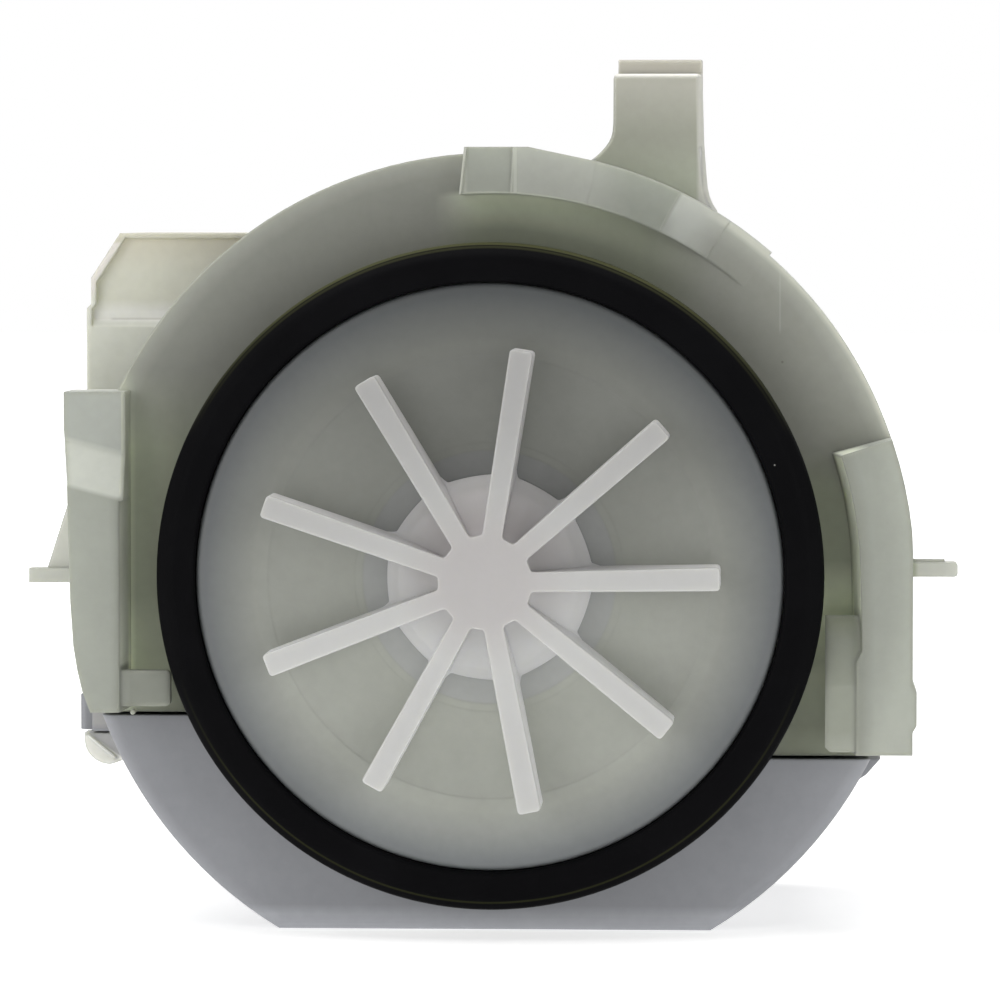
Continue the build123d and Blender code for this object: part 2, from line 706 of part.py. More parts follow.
def impeller_web():
    """Sloping disc behind the blades, scalloped between them."""
    hub_back = -IMPELLER_FRONT + HUB_STEP
    cone = turned([(0, -IMPELLER_FRONT), (hub_r, -IMPELLER_FRONT), (hub_r, hub_back),
                   (coupling_r + CONE_WALL, (hub_back + web_front) / 2), (web_r, web_front),
                   (web_r, web_back), (0, web_back)])
    reach = web_r - WEB_SCALLOP + WEB_SCALLOP_RADIUS
    for index in range(BLADE_COUNT):
        angle = BLADE_ANGLE + (index + 0.5) * 360 / BLADE_COUNT
        spot = polar(reach, angle)
        cone = cone - rod(WEB_SCALLOP_RADIUS, -IMPELLER_FRONT - 1, web_back + 1, spot[0], spot[1])
    return cone


def impeller():
    plane = Plane(origin=(0, web_back, 0), x_dir=(1, 0, 0), z_dir=(0, -1, 0))
    blade = extrude(plane * blade_outline(), amount=web_back + IMPELLER_FRONT) & blade_envelope()
    body = impeller_web() + rod(drum_r, web_front, impeller_back)
    for index in range(BLADE_COUNT):
        body = body + turn(blade, BLADE_ANGLE + index * 360 / BLADE_COUNT)
    body = body - rod(coupling_r, coupling_front, impeller_back + 1)
    body = body - rod(coupling_r + CAP_LEDGE, cap_front, impeller_back + 1)
    stop = sector(DOG_HUB_DIAMETER / 2 + GAP, coupling_r + 0.5, 90 - STOP_HALF_ANGLE,
                  90 + STOP_HALF_ANGLE, coupling_front - 0.2, cap_front)
    bore = rod(shaft_r + RUNNING, coupling_front - HUB_STEP - GAP, impeller_back)
    return body + stop - bore


def impeller_cap():
    return tube(coupling_r + CAP_LEDGE - FIT, shaft_r + GAP, cap_front, impeller_back)


def hub_damper():
    """Rubber pad on each side of the impeller's stop."""
    inner = DOG_HUB_DIAMETER / 2 + GAP
    outer = coupling_r - FIT
    low = 90 - STOP_HALF_ANGLE
    high = 90 + STOP_HALF_ANGLE
    right = sector(inner, outer, low - DAMPER_ANGLE, low, coupling_front, cap_front)
    left = sector(inner, outer, high, high + DAMPER_ANGLE, coupling_front, cap_front)
    return Compound([right, left])


def drum_outline(radius, y_front, y_back, inset=0.0):
    """Round bar with the flat that the pump rests on."""
    return rod(radius, y_front, y_back) & above_flat(y_front, y_back, inset)


def snap_window(angle):
    """Window in the drum that a snap hook's nib locks into."""
    back = motor_back - SNAP_LENGTH + SNAP_NIB_LENGTH + GAP
    front = motor_back - SNAP_LENGTH - GAP
    half = SNAP_WIDTH / 2 + GAP
    return turn(block(motor_inner_r - 1, motor_r + 2, front, back, -half, half), angle)


def motor_housing():
    """Grey drum, flat below, with the front plate under the ring."""
    drum = drum_outline(motor_r, ring_back, motor_back)
    cavity = drum_outline(motor_inner_r, plate_back, motor_back + 1, MOTOR_WALL)
    plate = drum_outline(plate_r, plate_front, plate_rear)
    plate = fillet(plate.edges().group_by(Axis.Y)[0], PLATE_EDGE_RADIUS)
    plate = plate & below_chords(GAP, plate_front, plate_rear)
    body = drum + plate + housing_clips() - rod(spigot_r + GAP, plate_front - 1, ring_back)
    for angle in RIB_ANGLES:
        rib = block(motor_r - 1, motor_r + RIB_HEIGHT, skirt_back + GAP, motor_back,
                    -RIB_WIDTH / 2, RIB_WIDTH / 2)
        body = body + turn(rib, angle)
    body = body - cavity - strip_slot()
    body = body - below_flat()
    for angle in SNAP_ANGLES:
        body = body - snap_window(angle)
    return body


def below_flat():
    far = 4 * plate_r
    return block(-far, far, 0, motor_back + 1, -far, -flat_drop)


def housing_clips():
    """Clip on the left and small nib on the right, both at the ring's cut edges."""
    front = skirt_back + GAP
    low = -LEFT_CHORD - CLIP_DROP
    left = -ring_r - CLIP_REACH
    clip = block(left, -motor_r + 5, front, front + CLIP_DEPTH, low, low + CLIP_HEIGHT)
    clip = chamfer(clip.edges().filter_by(Axis.Z).sort_by(Axis.X)[:2].sort_by(Axis.Y)[0], 0.5)
    foot = block(-ring_r + 1, -motor_r + 5, ring_back, front + CLIP_DEPTH, low + 0.2, -LEFT_CHORD - GAP)
    nib = slab([(motor_r - 6, -RIGHT_CHORD - 0.6), (motor_r - 2, -RIGHT_CHORD - 0.6),
                (motor_r - 3.4, -RIGHT_CHORD - 2.2), (motor_r - 6, -RIGHT_CHORD - 4)],
               ring_back, front + 1)
    return clip + foot + nib


def side_latch():
    """Pale latch ear with a slanted rib below the clip, seated on the drum."""
    top = -LEFT_CHORD - CLIP_DROP - FIT
    left = -ring_r + 0.15
    ear = slab([(left, top), (left + 6, top), (left + 6, top - 2), (left + 3.4, top - 3),
                (left + 2.6, top - 3.25), (left + 1.85, top - 3.1), (left + 1.1, top - 2.75),
                (left + 0.5, top - 2.15), (left + 0.15, top - 1.5), (left, top - 0.7)],
               plate_rear, skirt_back)
    rib = slab([(left + 0.2, top - 0.2), (left + 0.2 + EAR_RIB_WIDTH, top - 0.2),
                (left + 3.4, top - 2.5), (left + 3.4 - EAR_RIB_WIDTH, top - 2.7)],
               plate_rear - EAR_RIB_HEIGHT, plate_rear)
    return ear + rib - rod(motor_r, plate_rear - 1, skirt_back + 1)


def snap_hook(angle):
    outer = sqrt(motor_inner_r ** 2 - (SNAP_WIDTH / 2) ** 2) - GAP / 2
    front = motor_back - SNAP_LENGTH
    half = SNAP_WIDTH / 2
    arm = block(outer - SNAP_THICKNESS, outer, front, motor_back + 0.5, -half, half)
    nib = block(outer - 0.5, outer + SNAP_NIB, front, front + SNAP_NIB_LENGTH, -half, half)
    return turn(arm + nib, angle)


def rear_cover():
    """Cover with snap hooks and a bare shallow place for a label."""
    back = motor_back + COVER_THICKNESS
    cover = drum_outline(motor_r, motor_back, back)
    cover = fillet(cover.edges().group_by(Axis.Y)[-1], COVER_EDGE_RADIUS)
    cover = cover - block(-LABEL_WIDTH / 2, LABEL_WIDTH / 2, back - LABEL_DEPTH, back + 1,
                          -LABEL_DROP - LABEL_HEIGHT / 2, -LABEL_DROP + LABEL_HEIGHT / 2)
    boss_r = COVER_BOSS_DIAMETER / 2
    cover = cover + rod(boss_r, back - FIT, back + COVER_BOSS_HEIGHT)
    cover = cover - rod(boss_r / 2, back, back + 2)
    for index in range(COVER_RIB_COUNT + 1):
        rib = block(boss_r - 1, motor_r - 5, back - FIT, back + COVER_BOSS_HEIGHT / 2,
                    -COVER_RIB_WIDTH / 2, COVER_RIB_WIDTH / 2)
        cover = cover + turn(rib, index * 180 / COVER_RIB_COUNT)
    for angle in SNAP_ANGLES:
        cover = cover + snap_hook(angle)
    return cover


def pole_stack(side):
    """Lamination pack of one leg with its curved pole face."""
    leg_in = leg_middle - LEG_WIDTH / 2
    leg_out = leg_outer
    pole = block(POLE_GAP / 2, pole_outer, stack_front, stack_back, -POLE_HEIGHT, POLE_HEIGHT)
    leg = block(leg_in, leg_out, stack_front, stack_back, leg_bottom, 0)
    stack = pole + leg - rod(pole_bore_r, stack_front - 1, stack_back + 1)
    return stack if side > 0 else mirror(stack, Plane.YZ)


def yoke_stack():
    half = leg_outer
    return block(-half, half, stack_front, stack_back, leg_bottom - YOKE_HEIGHT, leg_bottom)


def coil_box(grow, low, high):
    """Box round one leg, larger than the leg by the same amount on four sides."""
    return block(leg_middle - LEG_WIDTH / 2 - grow, leg_outer + grow,
                 stack_front - grow, stack_back + grow, low, high)


def bobbin(side):
    full = BOBBIN_WALL + WINDING_DEPTH
    body = coil_box(BOBBIN_WALL, leg_bottom, coil_top)
    body = body + coil_box(full, coil_top - BOBBIN_WALL, coil_top)
    body = body + coil_box(full, leg_bottom, leg_bottom + BOBBIN_WALL)
    body = body - coil_box(FIT, leg_bottom - 1, coil_top + 1)
    return body if side > 0 else mirror(body, Plane.YZ)


def winding(side):
    full = BOBBIN_WALL + WINDING_DEPTH
    low = leg_bottom + BOBBIN_WALL + FIT
    high = coil_top - BOBBIN_WALL - FIT
    body = coil_box(full - 0.3, low, high) - coil_box(BOBBIN_WALL + FIT, low - 1, high + 1)
    return body if side > 0 else mirror(body, Plane.YZ)


def pin_x(side, place):
    """X of a coil pin: place 0 is near the middle of the motor, 1 is near its wall."""
    reach = LEG_WIDTH / 2 + WINDING_DEPTH / 2
    return side * (leg_middle + (reach if place else -reach))


def coil_pins():
    pins = []
    half = PIN_WIDTH / 2
    z_mid = coil_top - BOBBIN_WALL / 2
    for side in (-1, 1):
        for place in (0, 1):
            x = pin_x(side, place)
            pins.append(block(x - half, x + half, pin_front, pin_front + PIN_LENGTH,
                              z_mid - half, z_mid + half))
    return Compound(pins)


def coil_link():
    """Flat link between the two inner coil pins."""
    z_mid = coil_top - BOBBIN_WALL / 2
    reach = pin_x(1, 0) - PIN_WIDTH / 2 - FIT
    front = pin_front + FIT
    return block(-reach, reach, front, front + PIN_LENGTH / 2, z_mid - 0.4, z_mid + 0.4)


def thermal_cutout():
    half = leg_middle - LEG_WIDTH / 2 - BOBBIN_WALL - WINDING_DEPTH - FIT
    y_mid = (stack_front + stack_back) / 2
    z_mid = (leg_bottom + coil_top) / 2
    return block(-half, half, y_mid - CUTOUT_LENGTH / 2, y_mid + CUTOUT_LENGTH / 2,
                 z_mid - CUTOUT_HEIGHT / 2, z_mid + CUTOUT_HEIGHT / 2)


def terminal_z(place):
    """Height of a terminal blade: place 0 is the lower one, 1 the upper one."""
    middle = socket_bottom + SOCKET_HEIGHT / 2
    return middle + (place - 0.5) * BLADE_TERMINAL_PITCH


def tail_end(place):
    """X at which a terminal's tail ends inside the drum."""
    height = terminal_z(place) + BLADE_TERMINAL_THICKNESS / 2
    return TAIL_REACH - sqrt(motor_inner_r ** 2 - height ** 2)


def terminal_blade(place):
    """Blade in the socket, with a flat tail that leads through the drum's wall."""
    x_mid = terminal_x
    z_mid = terminal_z(place)
    half = BLADE_TERMINAL_THICKNESS / 2
    left = x_mid - BLADE_TERMINAL_WIDTH / 2
    right = x_mid + BLADE_TERMINAL_WIDTH / 2
    blade = block(left, right, tail_front, socket_floor + BLADE_TERMINAL_LENGTH,
                  z_mid - half, z_mid + half)
    tail = block(right - 1, tail_end(place), tail_front, tail_front + STRIP_WIDTH,
                 z_mid - half, z_mid + half)
    return blade + tail


def strip_slot():
    """Slot through the drum's wall for the terminals' tails."""
    low = terminal_z(0) - BLADE_TERMINAL_THICKNESS / 2 - FIT
    high = terminal_z(1) + BLADE_TERMINAL_THICKNESS / 2 + FIT
    return block(terminal_x, -motor_inner_r / 2, tail_front - FIT, tail_front + STRIP_WIDTH + FIT,
                 low, high)


def ribbon(points, y_front, y_back):
    """Flat strip of one width along a route in X and Z."""
    body = None
    for start, end in zip(points, points[1:]):
        run = Vector(end[0] - start[0], 0, end[1] - start[1])
        piece = Box(run.length, y_back - y_front, STRIP_WIDTH)
        angle = -Vector(1, 0, 0).get_signed_angle(run, Vector(0, -1, 0))
        place = Pos((start[0] + end[0]) / 2, (y_front + y_back) / 2, (start[1] + end[1]) / 2)
        piece = place * Rot(0, angle, 0) * piece
        joint = rod(STRIP_WIDTH / 2, y_front, y_back, end[0], end[1])
        body = piece + joint if body is None else body + piece + joint
    return body + rod(STRIP_WIDTH / 2, y_front, y_back, points[0][0], points[0][1])


def contact_strip(place):
    """Strip from a terminal's tail back and down to a coil pin."""
    z_tail = terminal_z(place)
    half = BLADE_TERMINAL_THICKNESS / 2
    left = tail_end(place) - STRIP_WIDTH
    lead = block(left, tail_end(place), tail_front, strip_front + STRIP_THICKNESS,
                 z_tail + half, z_tail + half + STRIP_THICKNESS)
    start = (left + STRIP_WIDTH / 2, z_tail + half + STRIP_THICKNESS / 2)
    pin_z = coil_top - BOBBIN_WALL / 2
    if place == 0:
        route = [start, (-pole_outer - 4, 0), (pin_x(-1, 1), pin_z)]
    else:
        over = can_r + 8
        route = [start, (-can_r, over), (can_r, over), (pole_outer + 4, 0), (pin_x(1, 1), pin_z)]
    strip = ribbon(route, strip_front, strip_front + STRIP_THICKNESS)
    hole = PIN_WIDTH / 2 + FIT
    x_pin = pin_x(-1 if place == 0 else 1, 1)
    eye = block(x_pin - hole, x_pin + hole, strip_front - 1, strip_front + 2,
                pin_z - hole, pin_z + hole)
    return lead + strip - eye


def connector_outline(inset):
    """Outline of the connector, stepped in above its middle and bevelled at its upper corner."""
    left = connector_left + inset
    upper = left + CONNECTOR_STEP
    top = connector_top - inset
    step = connector_z + CONNECTOR_STEP_RISE
    return [(left, connector_bottom), (0, connector_bottom), (0, top),
            (upper + CONNECTOR_BEVEL_X, top), (upper, top - CONNECTOR_BEVEL_Z), (upper, step),
            (left, step - CONNECTOR_STEP)]


def recess_profile():
    """Recess seen from the side, with a ledge that slopes back in two bevels."""
    low = connector_z + LEDGE_RISE
    front = connector_front
    floor = front + RECESS_DEPTH
    return make_face(Polyline((front - 1, low), (front, low), (front + LEDGE_BEVEL, low + LEDGE_BEVEL),
                              (floor, low + 2 * LEDGE_BEVEL), (floor, connector_top),
                              (front - 1, connector_top), close=True))


def connector_housing():
    """Pale housing on the drum's upper left, with a recess in front and a socket behind."""
    body = slab(connector_outline(0), connector_front, connector_back)
    recess = slab(connector_outline(CONNECTOR_WALL), connector_front - 1,
                  connector_front + RECESS_DEPTH)
    recess = recess & extrude(Plane.YZ * recess_profile(), amount=4 * connector_left)
    socket = block(socket_left, socket_right, socket_floor, connector_back + 1,
                   socket_bottom, socket_bottom + SOCKET_HEIGHT)
    body = body - recess - socket - rod(motor_r, connector_front - 1, connector_back + 1)
    for place in (0, 1):
        body = body - terminal_room(place)
    return body


def terminal_room(place):
    """Slot in the connector's floor that holds a terminal."""
    x_mid = terminal_x
    z_mid = terminal_z(place)
    half = BLADE_TERMINAL_THICKNESS / 2 + FIT
    left = x_mid - BLADE_TERMINAL_WIDTH / 2 - FIT
    right = x_mid + BLADE_TERMINAL_WIDTH / 2 + FIT
    blade = block(left, right, tail_front - FIT, socket_floor + 1, z_mid - half, z_mid + half)
    tail = block(right - 1, 0, tail_front - FIT, tail_front + STRIP_WIDTH + FIT,
                 z_mid - half, z_mid + half)
    return blade + tail


def lock_lever():
    """Springy arm with a hook head, which locks the pump when it is turned home."""
    right = LEVER_LEFT + LEVER_WIDTH
    foot = lever_root + LEVER_FOOT_GAP
    arm = block(LEVER_LEFT, right, lever_front, lever_back, foot, lever_top)
    arm = chamfer(arm.edges().group_by(Axis.Y)[0].sort_by(Axis.Z)[-1], LEVER_TOP_BEVEL)
    rib = block(right, right + LEVER_RIB, lever_front + 0.4, lever_front + LEVER_RIB_DEPTH,
                foot + LEVER_RIB_LIFT, lever_top - 0.5)
    head = block(HEAD_LEFT, right + LEVER_RIB, lever_back - 0.5, lever_back + HEAD_DEPTH,
                 head_top - HEAD_HEIGHT, head_top)
    head = chamfer(head.edges().group_by(Axis.Y)[-1].sort_by(Axis.Z)[-1], HEAD_BEVEL)
    return arm + rib + head


PIECES = {
    "seal_ring": seal_ring,
    "spigot": spigot,
    "flange_body": flange_body,
    "left_bayonet_lug": left_bayonet_lug,
    "right_bayonet_lug": right_bayonet_lug,
    "face_plate": face_plate,
    "front_bearing_mount": lambda: bearing_mount(boss_front, bearing_back),
    "front_bearing": lambda: bearing(bearing_front, bearing_back),
    "rotor_can": rotor_can,
    "can_oring": can_oring,
    "rear_bearing_mount": lambda: bearing_mount(rear_bearing_front, can_pocket_back),
    "rear_bearing": lambda: bearing(rear_bearing_front, rear_bearing_back),
    "shaft": shaft,
    "front_thrust_washer": lambda: thrust_washer(washer_front),
    "rear_thrust_washer": lambda: thrust_washer(sleeve_back),
    "rotor_sleeve": rotor_sleeve,
    "rotor_magnet": rotor_magnet,
    "drive_dog": drive_dog,
    "impeller": impeller,
    "impeller_cap": impeller_cap,
    "hub_damper": hub_damper,
    "motor_housing": motor_housing,
    "side_latch": side_latch,
    "rear_cover": rear_cover,
    "left_pole_stack": lambda: pole_stack(-1),
    "right_pole_stack": lambda: pole_stack(1),
    "yoke_stack": yoke_stack,
    "left_bobbin": lambda: bobbin(-1),
    "right_bobbin": lambda: bobbin(1),
    "left_winding": lambda: winding(-1),
    "right_winding": lambda: winding(1),
    "coil_pins": coil_pins,
    "coil_link": coil_link,
    "thermal_cutout": thermal_cutout,
    "lower_terminal": lambda: terminal_blade(0),
    "upper_terminal": lambda: terminal_blade(1),
    "lower_contact_strip": lambda: contact_strip(0),
    "upper_contact_strip": lambda: contact_strip(1),
    "connector_housing": connector_housing,
    "lock_lever": lock_lever,
}

os.makedirs("parts", exist_ok=True)
for name, make in PIECES.items():
    export_step(make(), "parts/" + name + ".step")
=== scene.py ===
"""Dresses the drain pump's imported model: camera, light, materials and detailed pieces."""
import json
import math

import bmesh
import bpy
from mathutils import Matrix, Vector


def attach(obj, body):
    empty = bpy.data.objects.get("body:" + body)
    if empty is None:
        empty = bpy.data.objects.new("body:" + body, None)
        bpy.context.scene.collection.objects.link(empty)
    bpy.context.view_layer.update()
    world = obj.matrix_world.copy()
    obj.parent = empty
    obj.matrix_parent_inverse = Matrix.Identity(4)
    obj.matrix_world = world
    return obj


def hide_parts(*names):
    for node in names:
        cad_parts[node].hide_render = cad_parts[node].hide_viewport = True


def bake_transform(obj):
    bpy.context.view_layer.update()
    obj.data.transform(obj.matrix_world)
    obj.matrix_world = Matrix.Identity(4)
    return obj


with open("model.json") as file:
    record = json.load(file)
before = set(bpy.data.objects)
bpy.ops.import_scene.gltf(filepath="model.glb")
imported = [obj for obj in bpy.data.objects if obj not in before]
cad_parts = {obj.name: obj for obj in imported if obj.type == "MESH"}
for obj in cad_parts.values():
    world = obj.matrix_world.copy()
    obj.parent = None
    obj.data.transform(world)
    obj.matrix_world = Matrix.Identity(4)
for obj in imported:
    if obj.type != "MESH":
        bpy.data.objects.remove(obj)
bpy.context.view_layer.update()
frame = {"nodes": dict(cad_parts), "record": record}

MM = 0.001

# Sizes in millimetres, repeated from the solid model. Y is negative on the impeller's side.
SEAL_R = 33.4
SEAL_HALF = 2.8
SEAL_BACK_R = 32.95
SEAT_Y = -0.22
SPIGOT_R = 31.0
LIP_R = 29.45

FACE_Y = -2.0
FACE_FLOOR = -1.52
FACE_BACK = -0.2
POCKET_R = 9.95
POCKET_Y = 1.4
STEP_R = 13.3
SHAFT_HOLE_R = 2.6

IMPELLER_R = 23.1
IMPELLER_Y = -11.0
BORE_R = 2.04
HUB_R = 4.7
BLADES = 9
BLADE_PITCH = 360.0 / BLADES
BLADE_ANGLE = 1.0
WEB_BACK = -1.58
WEB_ROOT_R = 8.9
WEB_R = 11.4

LEVER_FRONT = 10.94
LEVER_BACK = 13.56

# Lines painted on: a highlight along the latch ear's slanted rib, at Z + 0.72 X, a dark line along
# the connector's ledge, at Z, and the ring's knit line, at X
EAR_RIB = -47.3
LEDGE_LINE = 25.4
KNIT_LINE = 28.9

# How finely round forms are divided
AXIS_SEGMENTS = 240
WEB_SEGMENTS = 360
PIP_SEGMENTS = 20

# Camera and floor, in millimetres and degrees
CAMERA_LENS = 216.0
CAMERA_SENSOR = 36.0
CAMERA_TARGET = (0.982, 0.001, 7.636)
CAMERA_DISTANCE = 600.0
CAMERA_AZIMUTH = 2.75
CAMERA_ELEVATION = 2.75
FLOOR_Z = -36.5
FLOOR_HALF = 3000.0

# Lamps: name, place and size in metres, power in watts
LAMPS = [("top_lamp", (-0.1, 0.0, 0.8), 1.0, 8.0),
         ("front_left_lamp", (-0.6, -0.8, 0.25), 0.6, 3.0),
         ("front_right_lamp", (0.65, -0.75, 0.1), 0.6, 3.0)]

# Nodes whose flat faces are merged and whose edges are rounded, with the rounding's width
SOFT_NODES = {"connector_housing": 0.28, "motor_housing": 0.28, "side_latch": 0.28, "flange_body": 0.28,
              "left_bayonet_lug": 0.5, "right_bayonet_lug": 0.4}

# Nodes that look different from the rest of their slot
OWN_LOOK = {"left_bayonet_lug": "lug_plastic", "right_bayonet_lug": "lug_plastic",
            "side_latch": "latch_plastic"}


# Shader helpers

def nodes_of(name):
    """New material and its empty node tree."""
    material = bpy.data.materials.new(name)
    material.use_nodes = True
    tree = material.node_tree
    tree.nodes.clear()
    return material, tree


def shade(colour, factor):
    return tuple(min(1.0, c * factor) for c in colour)


class Graph:
    """Short names for adding and joining shader nodes. Colours are given as three numbers."""

    def __init__(self, tree):
        self.tree = tree
        self.x = 0

    def add(self, kind, **settings):
        node = self.tree.nodes.new(kind)
        self.x += 180
        node.location = (self.x, 0)
        for key, value in settings.items():
            setattr(node, key, value)
        return node

    def link(self, source, target):
        self.tree.links.new(source, target)

    def feed(self, socket, value):
        """Links another node's output to a socket, or sets a plain value on it."""
        if isinstance(value, bpy.types.NodeSocket):
            self.link(value, socket)
        elif socket.type == "RGBA":
            socket.default_value = tuple(value) + (1.0,)
        else:
            socket.default_value = value

    def place(self):
        return self.add("ShaderNodeTexCoord").outputs["Object"]

    def axes(self):
        """X, Y and Z of a point in the piece's own space, in millimetres."""
        split = self.add("ShaderNodeSeparateXYZ")
        self.link(self.place(), split.inputs[0])
        return [self.maths("MULTIPLY", split.outputs[i], 1000.0) for i in range(3)]

    def radius(self, x, z):
        """Distance from the pump's axis."""
        return self.maths("POWER", self.sum(self.product(x, x), self.product(z, z)), 0.5)

    def noise(self, scale, detail=3.0, rough=0.5):
        node = self.add("ShaderNodeTexNoise")
        node.inputs["Scale"].default_value = scale
        node.inputs["Detail"].default_value = detail
        node.inputs["Roughness"].default_value = rough
        self.link(self.place(), node.inputs["Vector"])
        return node.outputs["Fac"]

    def wave(self, scale, distortion, **settings):
        node = self.add("ShaderNodeTexWave", **settings)
        node.inputs["Scale"].default_value = scale
        node.inputs["Distortion"].default_value = distortion
        self.link(self.place(), node.inputs["Vector"])
        return node.outputs["Fac"]

    def span(self, value, low, high, to_low=0.0, to_high=1.0):
        """Ramp from to_low to to_high while the value goes from low to high, level outside."""
        node = self.add("ShaderNodeMapRange")
        self.feed(node.inputs["Value"], value)
        node.inputs["From Min"].default_value = low
        node.inputs["From Max"].default_value = high
        node.inputs["To Min"].default_value = to_low
        node.inputs["To Max"].default_value = to_high
        return node.outputs["Result"]

    def maths(self, operation, a, b=0.0):
        node = self.add("ShaderNodeMath", operation=operation)
        self.feed(node.inputs[0], a)
        self.feed(node.inputs[1], b)
        return node.outputs[0]

    def product(self, first, *rest):
        for value in rest:
            first = self.maths("MULTIPLY", first, value)
        return first

    def sum(self, first, *rest):
        for value in rest:
            first = self.maths("ADD", first, value)
        return first

    def largest(self, first, *rest):
        for value in rest:
            first = self.maths("MAXIMUM", first, value)
        return first

    def off(self, value, middle):
        """Distance of a value from a middle one, either way."""
        return self.maths("ABSOLUTE", self.maths("SUBTRACT", value, middle))

    def scaled(self, colour, level):
        """Colour times a number."""
        node = self.add("ShaderNodeVectorMath", operation="SCALE")
        self.feed(node.inputs[0], colour)
        self.feed(node.inputs["Scale"], level)
        return node.outputs[0]

    def mix(self, factor, a, b, blend="MIX"):
        node = self.add("ShaderNodeMix", data_type="RGBA", blend_type=blend)
        self.feed(node.inputs[0], factor)
        self.feed(node.inputs[6], a)
        self.feed(node.inputs[7], b)
        return node.outputs[2]

    def edges(self, radius):
        """Normal rounded over edges, and a value that is 1 on them and 0 elsewhere."""
        bevel = self.add("ShaderNodeBevel", samples=4)
        bevel.inputs["Radius"].default_value = radius * MM
        geometry = self.add("ShaderNodeNewGeometry")
        dot = self.add("ShaderNodeVectorMath", operation="DOT_PRODUCT")
        self.link(bevel.outputs["Normal"], dot.inputs[0])
        self.link(geometry.outputs["Normal"], dot.inputs[1])
        return bevel.outputs["Normal"], self.span(dot.outputs["Value"], 0.995, 0.8)

    def specks(self, scale, size, share):
        """Value that is 1 on small scattered specks."""
        node = self.add("ShaderNodeTexVoronoi")
        node.inputs["Scale"].default_value = scale
        self.link(self.place(), node.inputs["Vector"])
        split = self.add("ShaderNodeSeparateColor")
        self.link(node.outputs["Color"], split.inputs[0])
        chosen = self.maths("GREATER_THAN", split.outputs[0], 1.0 - share)
        return self.product(chosen, self.span(node.outputs["Distance"], size, size * 0.5))

    def bump(self, height, distance, strength=1.0, normal=None):
        node = self.add("ShaderNodeBump")
        node.inputs["Strength"].default_value = strength
        node.inputs["Distance"].default_value = distance
        self.link(height, node.inputs["Height"])
        if normal is not None:
            self.link(normal, node.inputs["Normal"])
        return node.outputs["Normal"]

    def finish(self, **sockets):
        shader = self.add("ShaderNodeBsdfPrincipled")
        for key, value in sockets.items():
            self.feed(shader.inputs[key.replace("_", " ")], value)
        out = self.add("ShaderNodeOutputMaterial")
        self.link(shader.outputs[0], out.inputs["Surface"])
        return shader


# Tones of the moulded parts, largely painted light and shade. The ramps' limits are places in millimetres.

def ring_tone(g, x, y, z, r):
    """Ring's face in painted light and shade: darker near the seal, lighter towards its outer edge and
    towards the right, with painted light beside the lugs and a faint knit line.
    """
    inside, middle, outside = (0.153, 0.156, 0.134), (0.204, 0.209, 0.181), (0.295, 0.302, 0.264)
    green_cast = (0.95, 1.0, 0.86)
    knit_mark = (0.45, 0.46, 0.41)
    # Painted shade near the seal, lighter paint towards the outer edge
    tone = g.mix(g.span(r, 34.0, 40.2), inside, middle)
    tone = g.mix(g.span(r, 40.2, 42.3), tone, outside)

    # Painted light below the top lug, beside the left lug and beside the right hook, where their shade
    # falls
    top = g.product(g.span(z, 24.0, 28.0), g.span(x, -6.0, -1.5), g.span(x, 22.0, 15.0),
                    g.span(r, 38.8, 38.2))
    top_light = g.product(top, g.span(r, 34.6, 37.9, 0.1, 1.5), g.span(x, 5.0, 16.0, 1.0, 0.1))

    left_side = g.span(x, -24.0, -30.0)
    left = g.product(left_side, g.span(z, 20.5, 12.5))
    lower_left = g.product(left_side, g.span(z, -2.5, -9.0, 0.0, 1.1))
    towards_lug = g.sum(g.span(x, -31.5, -34.8, 0.3, 1.0), g.span(x, -34.8, -36.4, 0.0, 0.3),
                        g.span(x, -36.4, -37.4, 0.0, 1.6))
    left_light = g.product(g.sum(left, lower_left), towards_lug, g.span(z, -9.8, -11.0, 1.0, 0.3),
                           g.span(x, -38.7, -38.3))

    right = g.span(x, 24.0, 30.0)
    towards_hook = g.sum(g.span(z, 12.5, 9.0, 0.0, 0.55), g.span(z, 9.0, 0.0, 0.0, 0.55),
                         g.span(z, 1.2, -3.2, 0.0, 3.0))
    past_hook = g.product(g.span(z, -4.5, -9.0, 1.0, 0.42), g.span(z, -10.5, -15.5, 1.0, 0.15))
    right_light = g.product(right, towards_hook, past_hook, g.span(r, 39.6, 39.1))

    light = g.product(g.sum(top_light, left_light, right_light), g.span(y, 8.5, 9.3, 1.0, 0.1))
    # Painted light beside the top lug, and a painted highlight on the outer edge at the upper right
    beside_top_lug = g.product(g.span(x, -10.0, -5.5), g.span(x, 0.0, -2.0),
                               g.span(r, 38.0, 40.0, 0.0, 0.2))
    rim = g.product(g.span(x, 14.0, 20.0), g.span(z, 12.0, 15.0), g.span(r, 41.7, 42.2, 0.0, 0.45))
    level = g.sum(g.span(x, 0.0, 20.0, 1.05, 1.3), light, beside_top_lug, rim)

    # The painted light is given a green cast
    green = g.largest(top, left, g.product(right, g.span(z, 13.0, 8.0)))
    tone = g.scaled(g.mix(green, tone, green_cast, blend="MULTIPLY"), level)
    knit = g.product(g.span(g.off(x, KNIT_LINE), 0.12, 0.05), g.span(z, 24.0, 24.6, 0.0, 0.22))
    return g.mix(knit, tone, knit_mark)


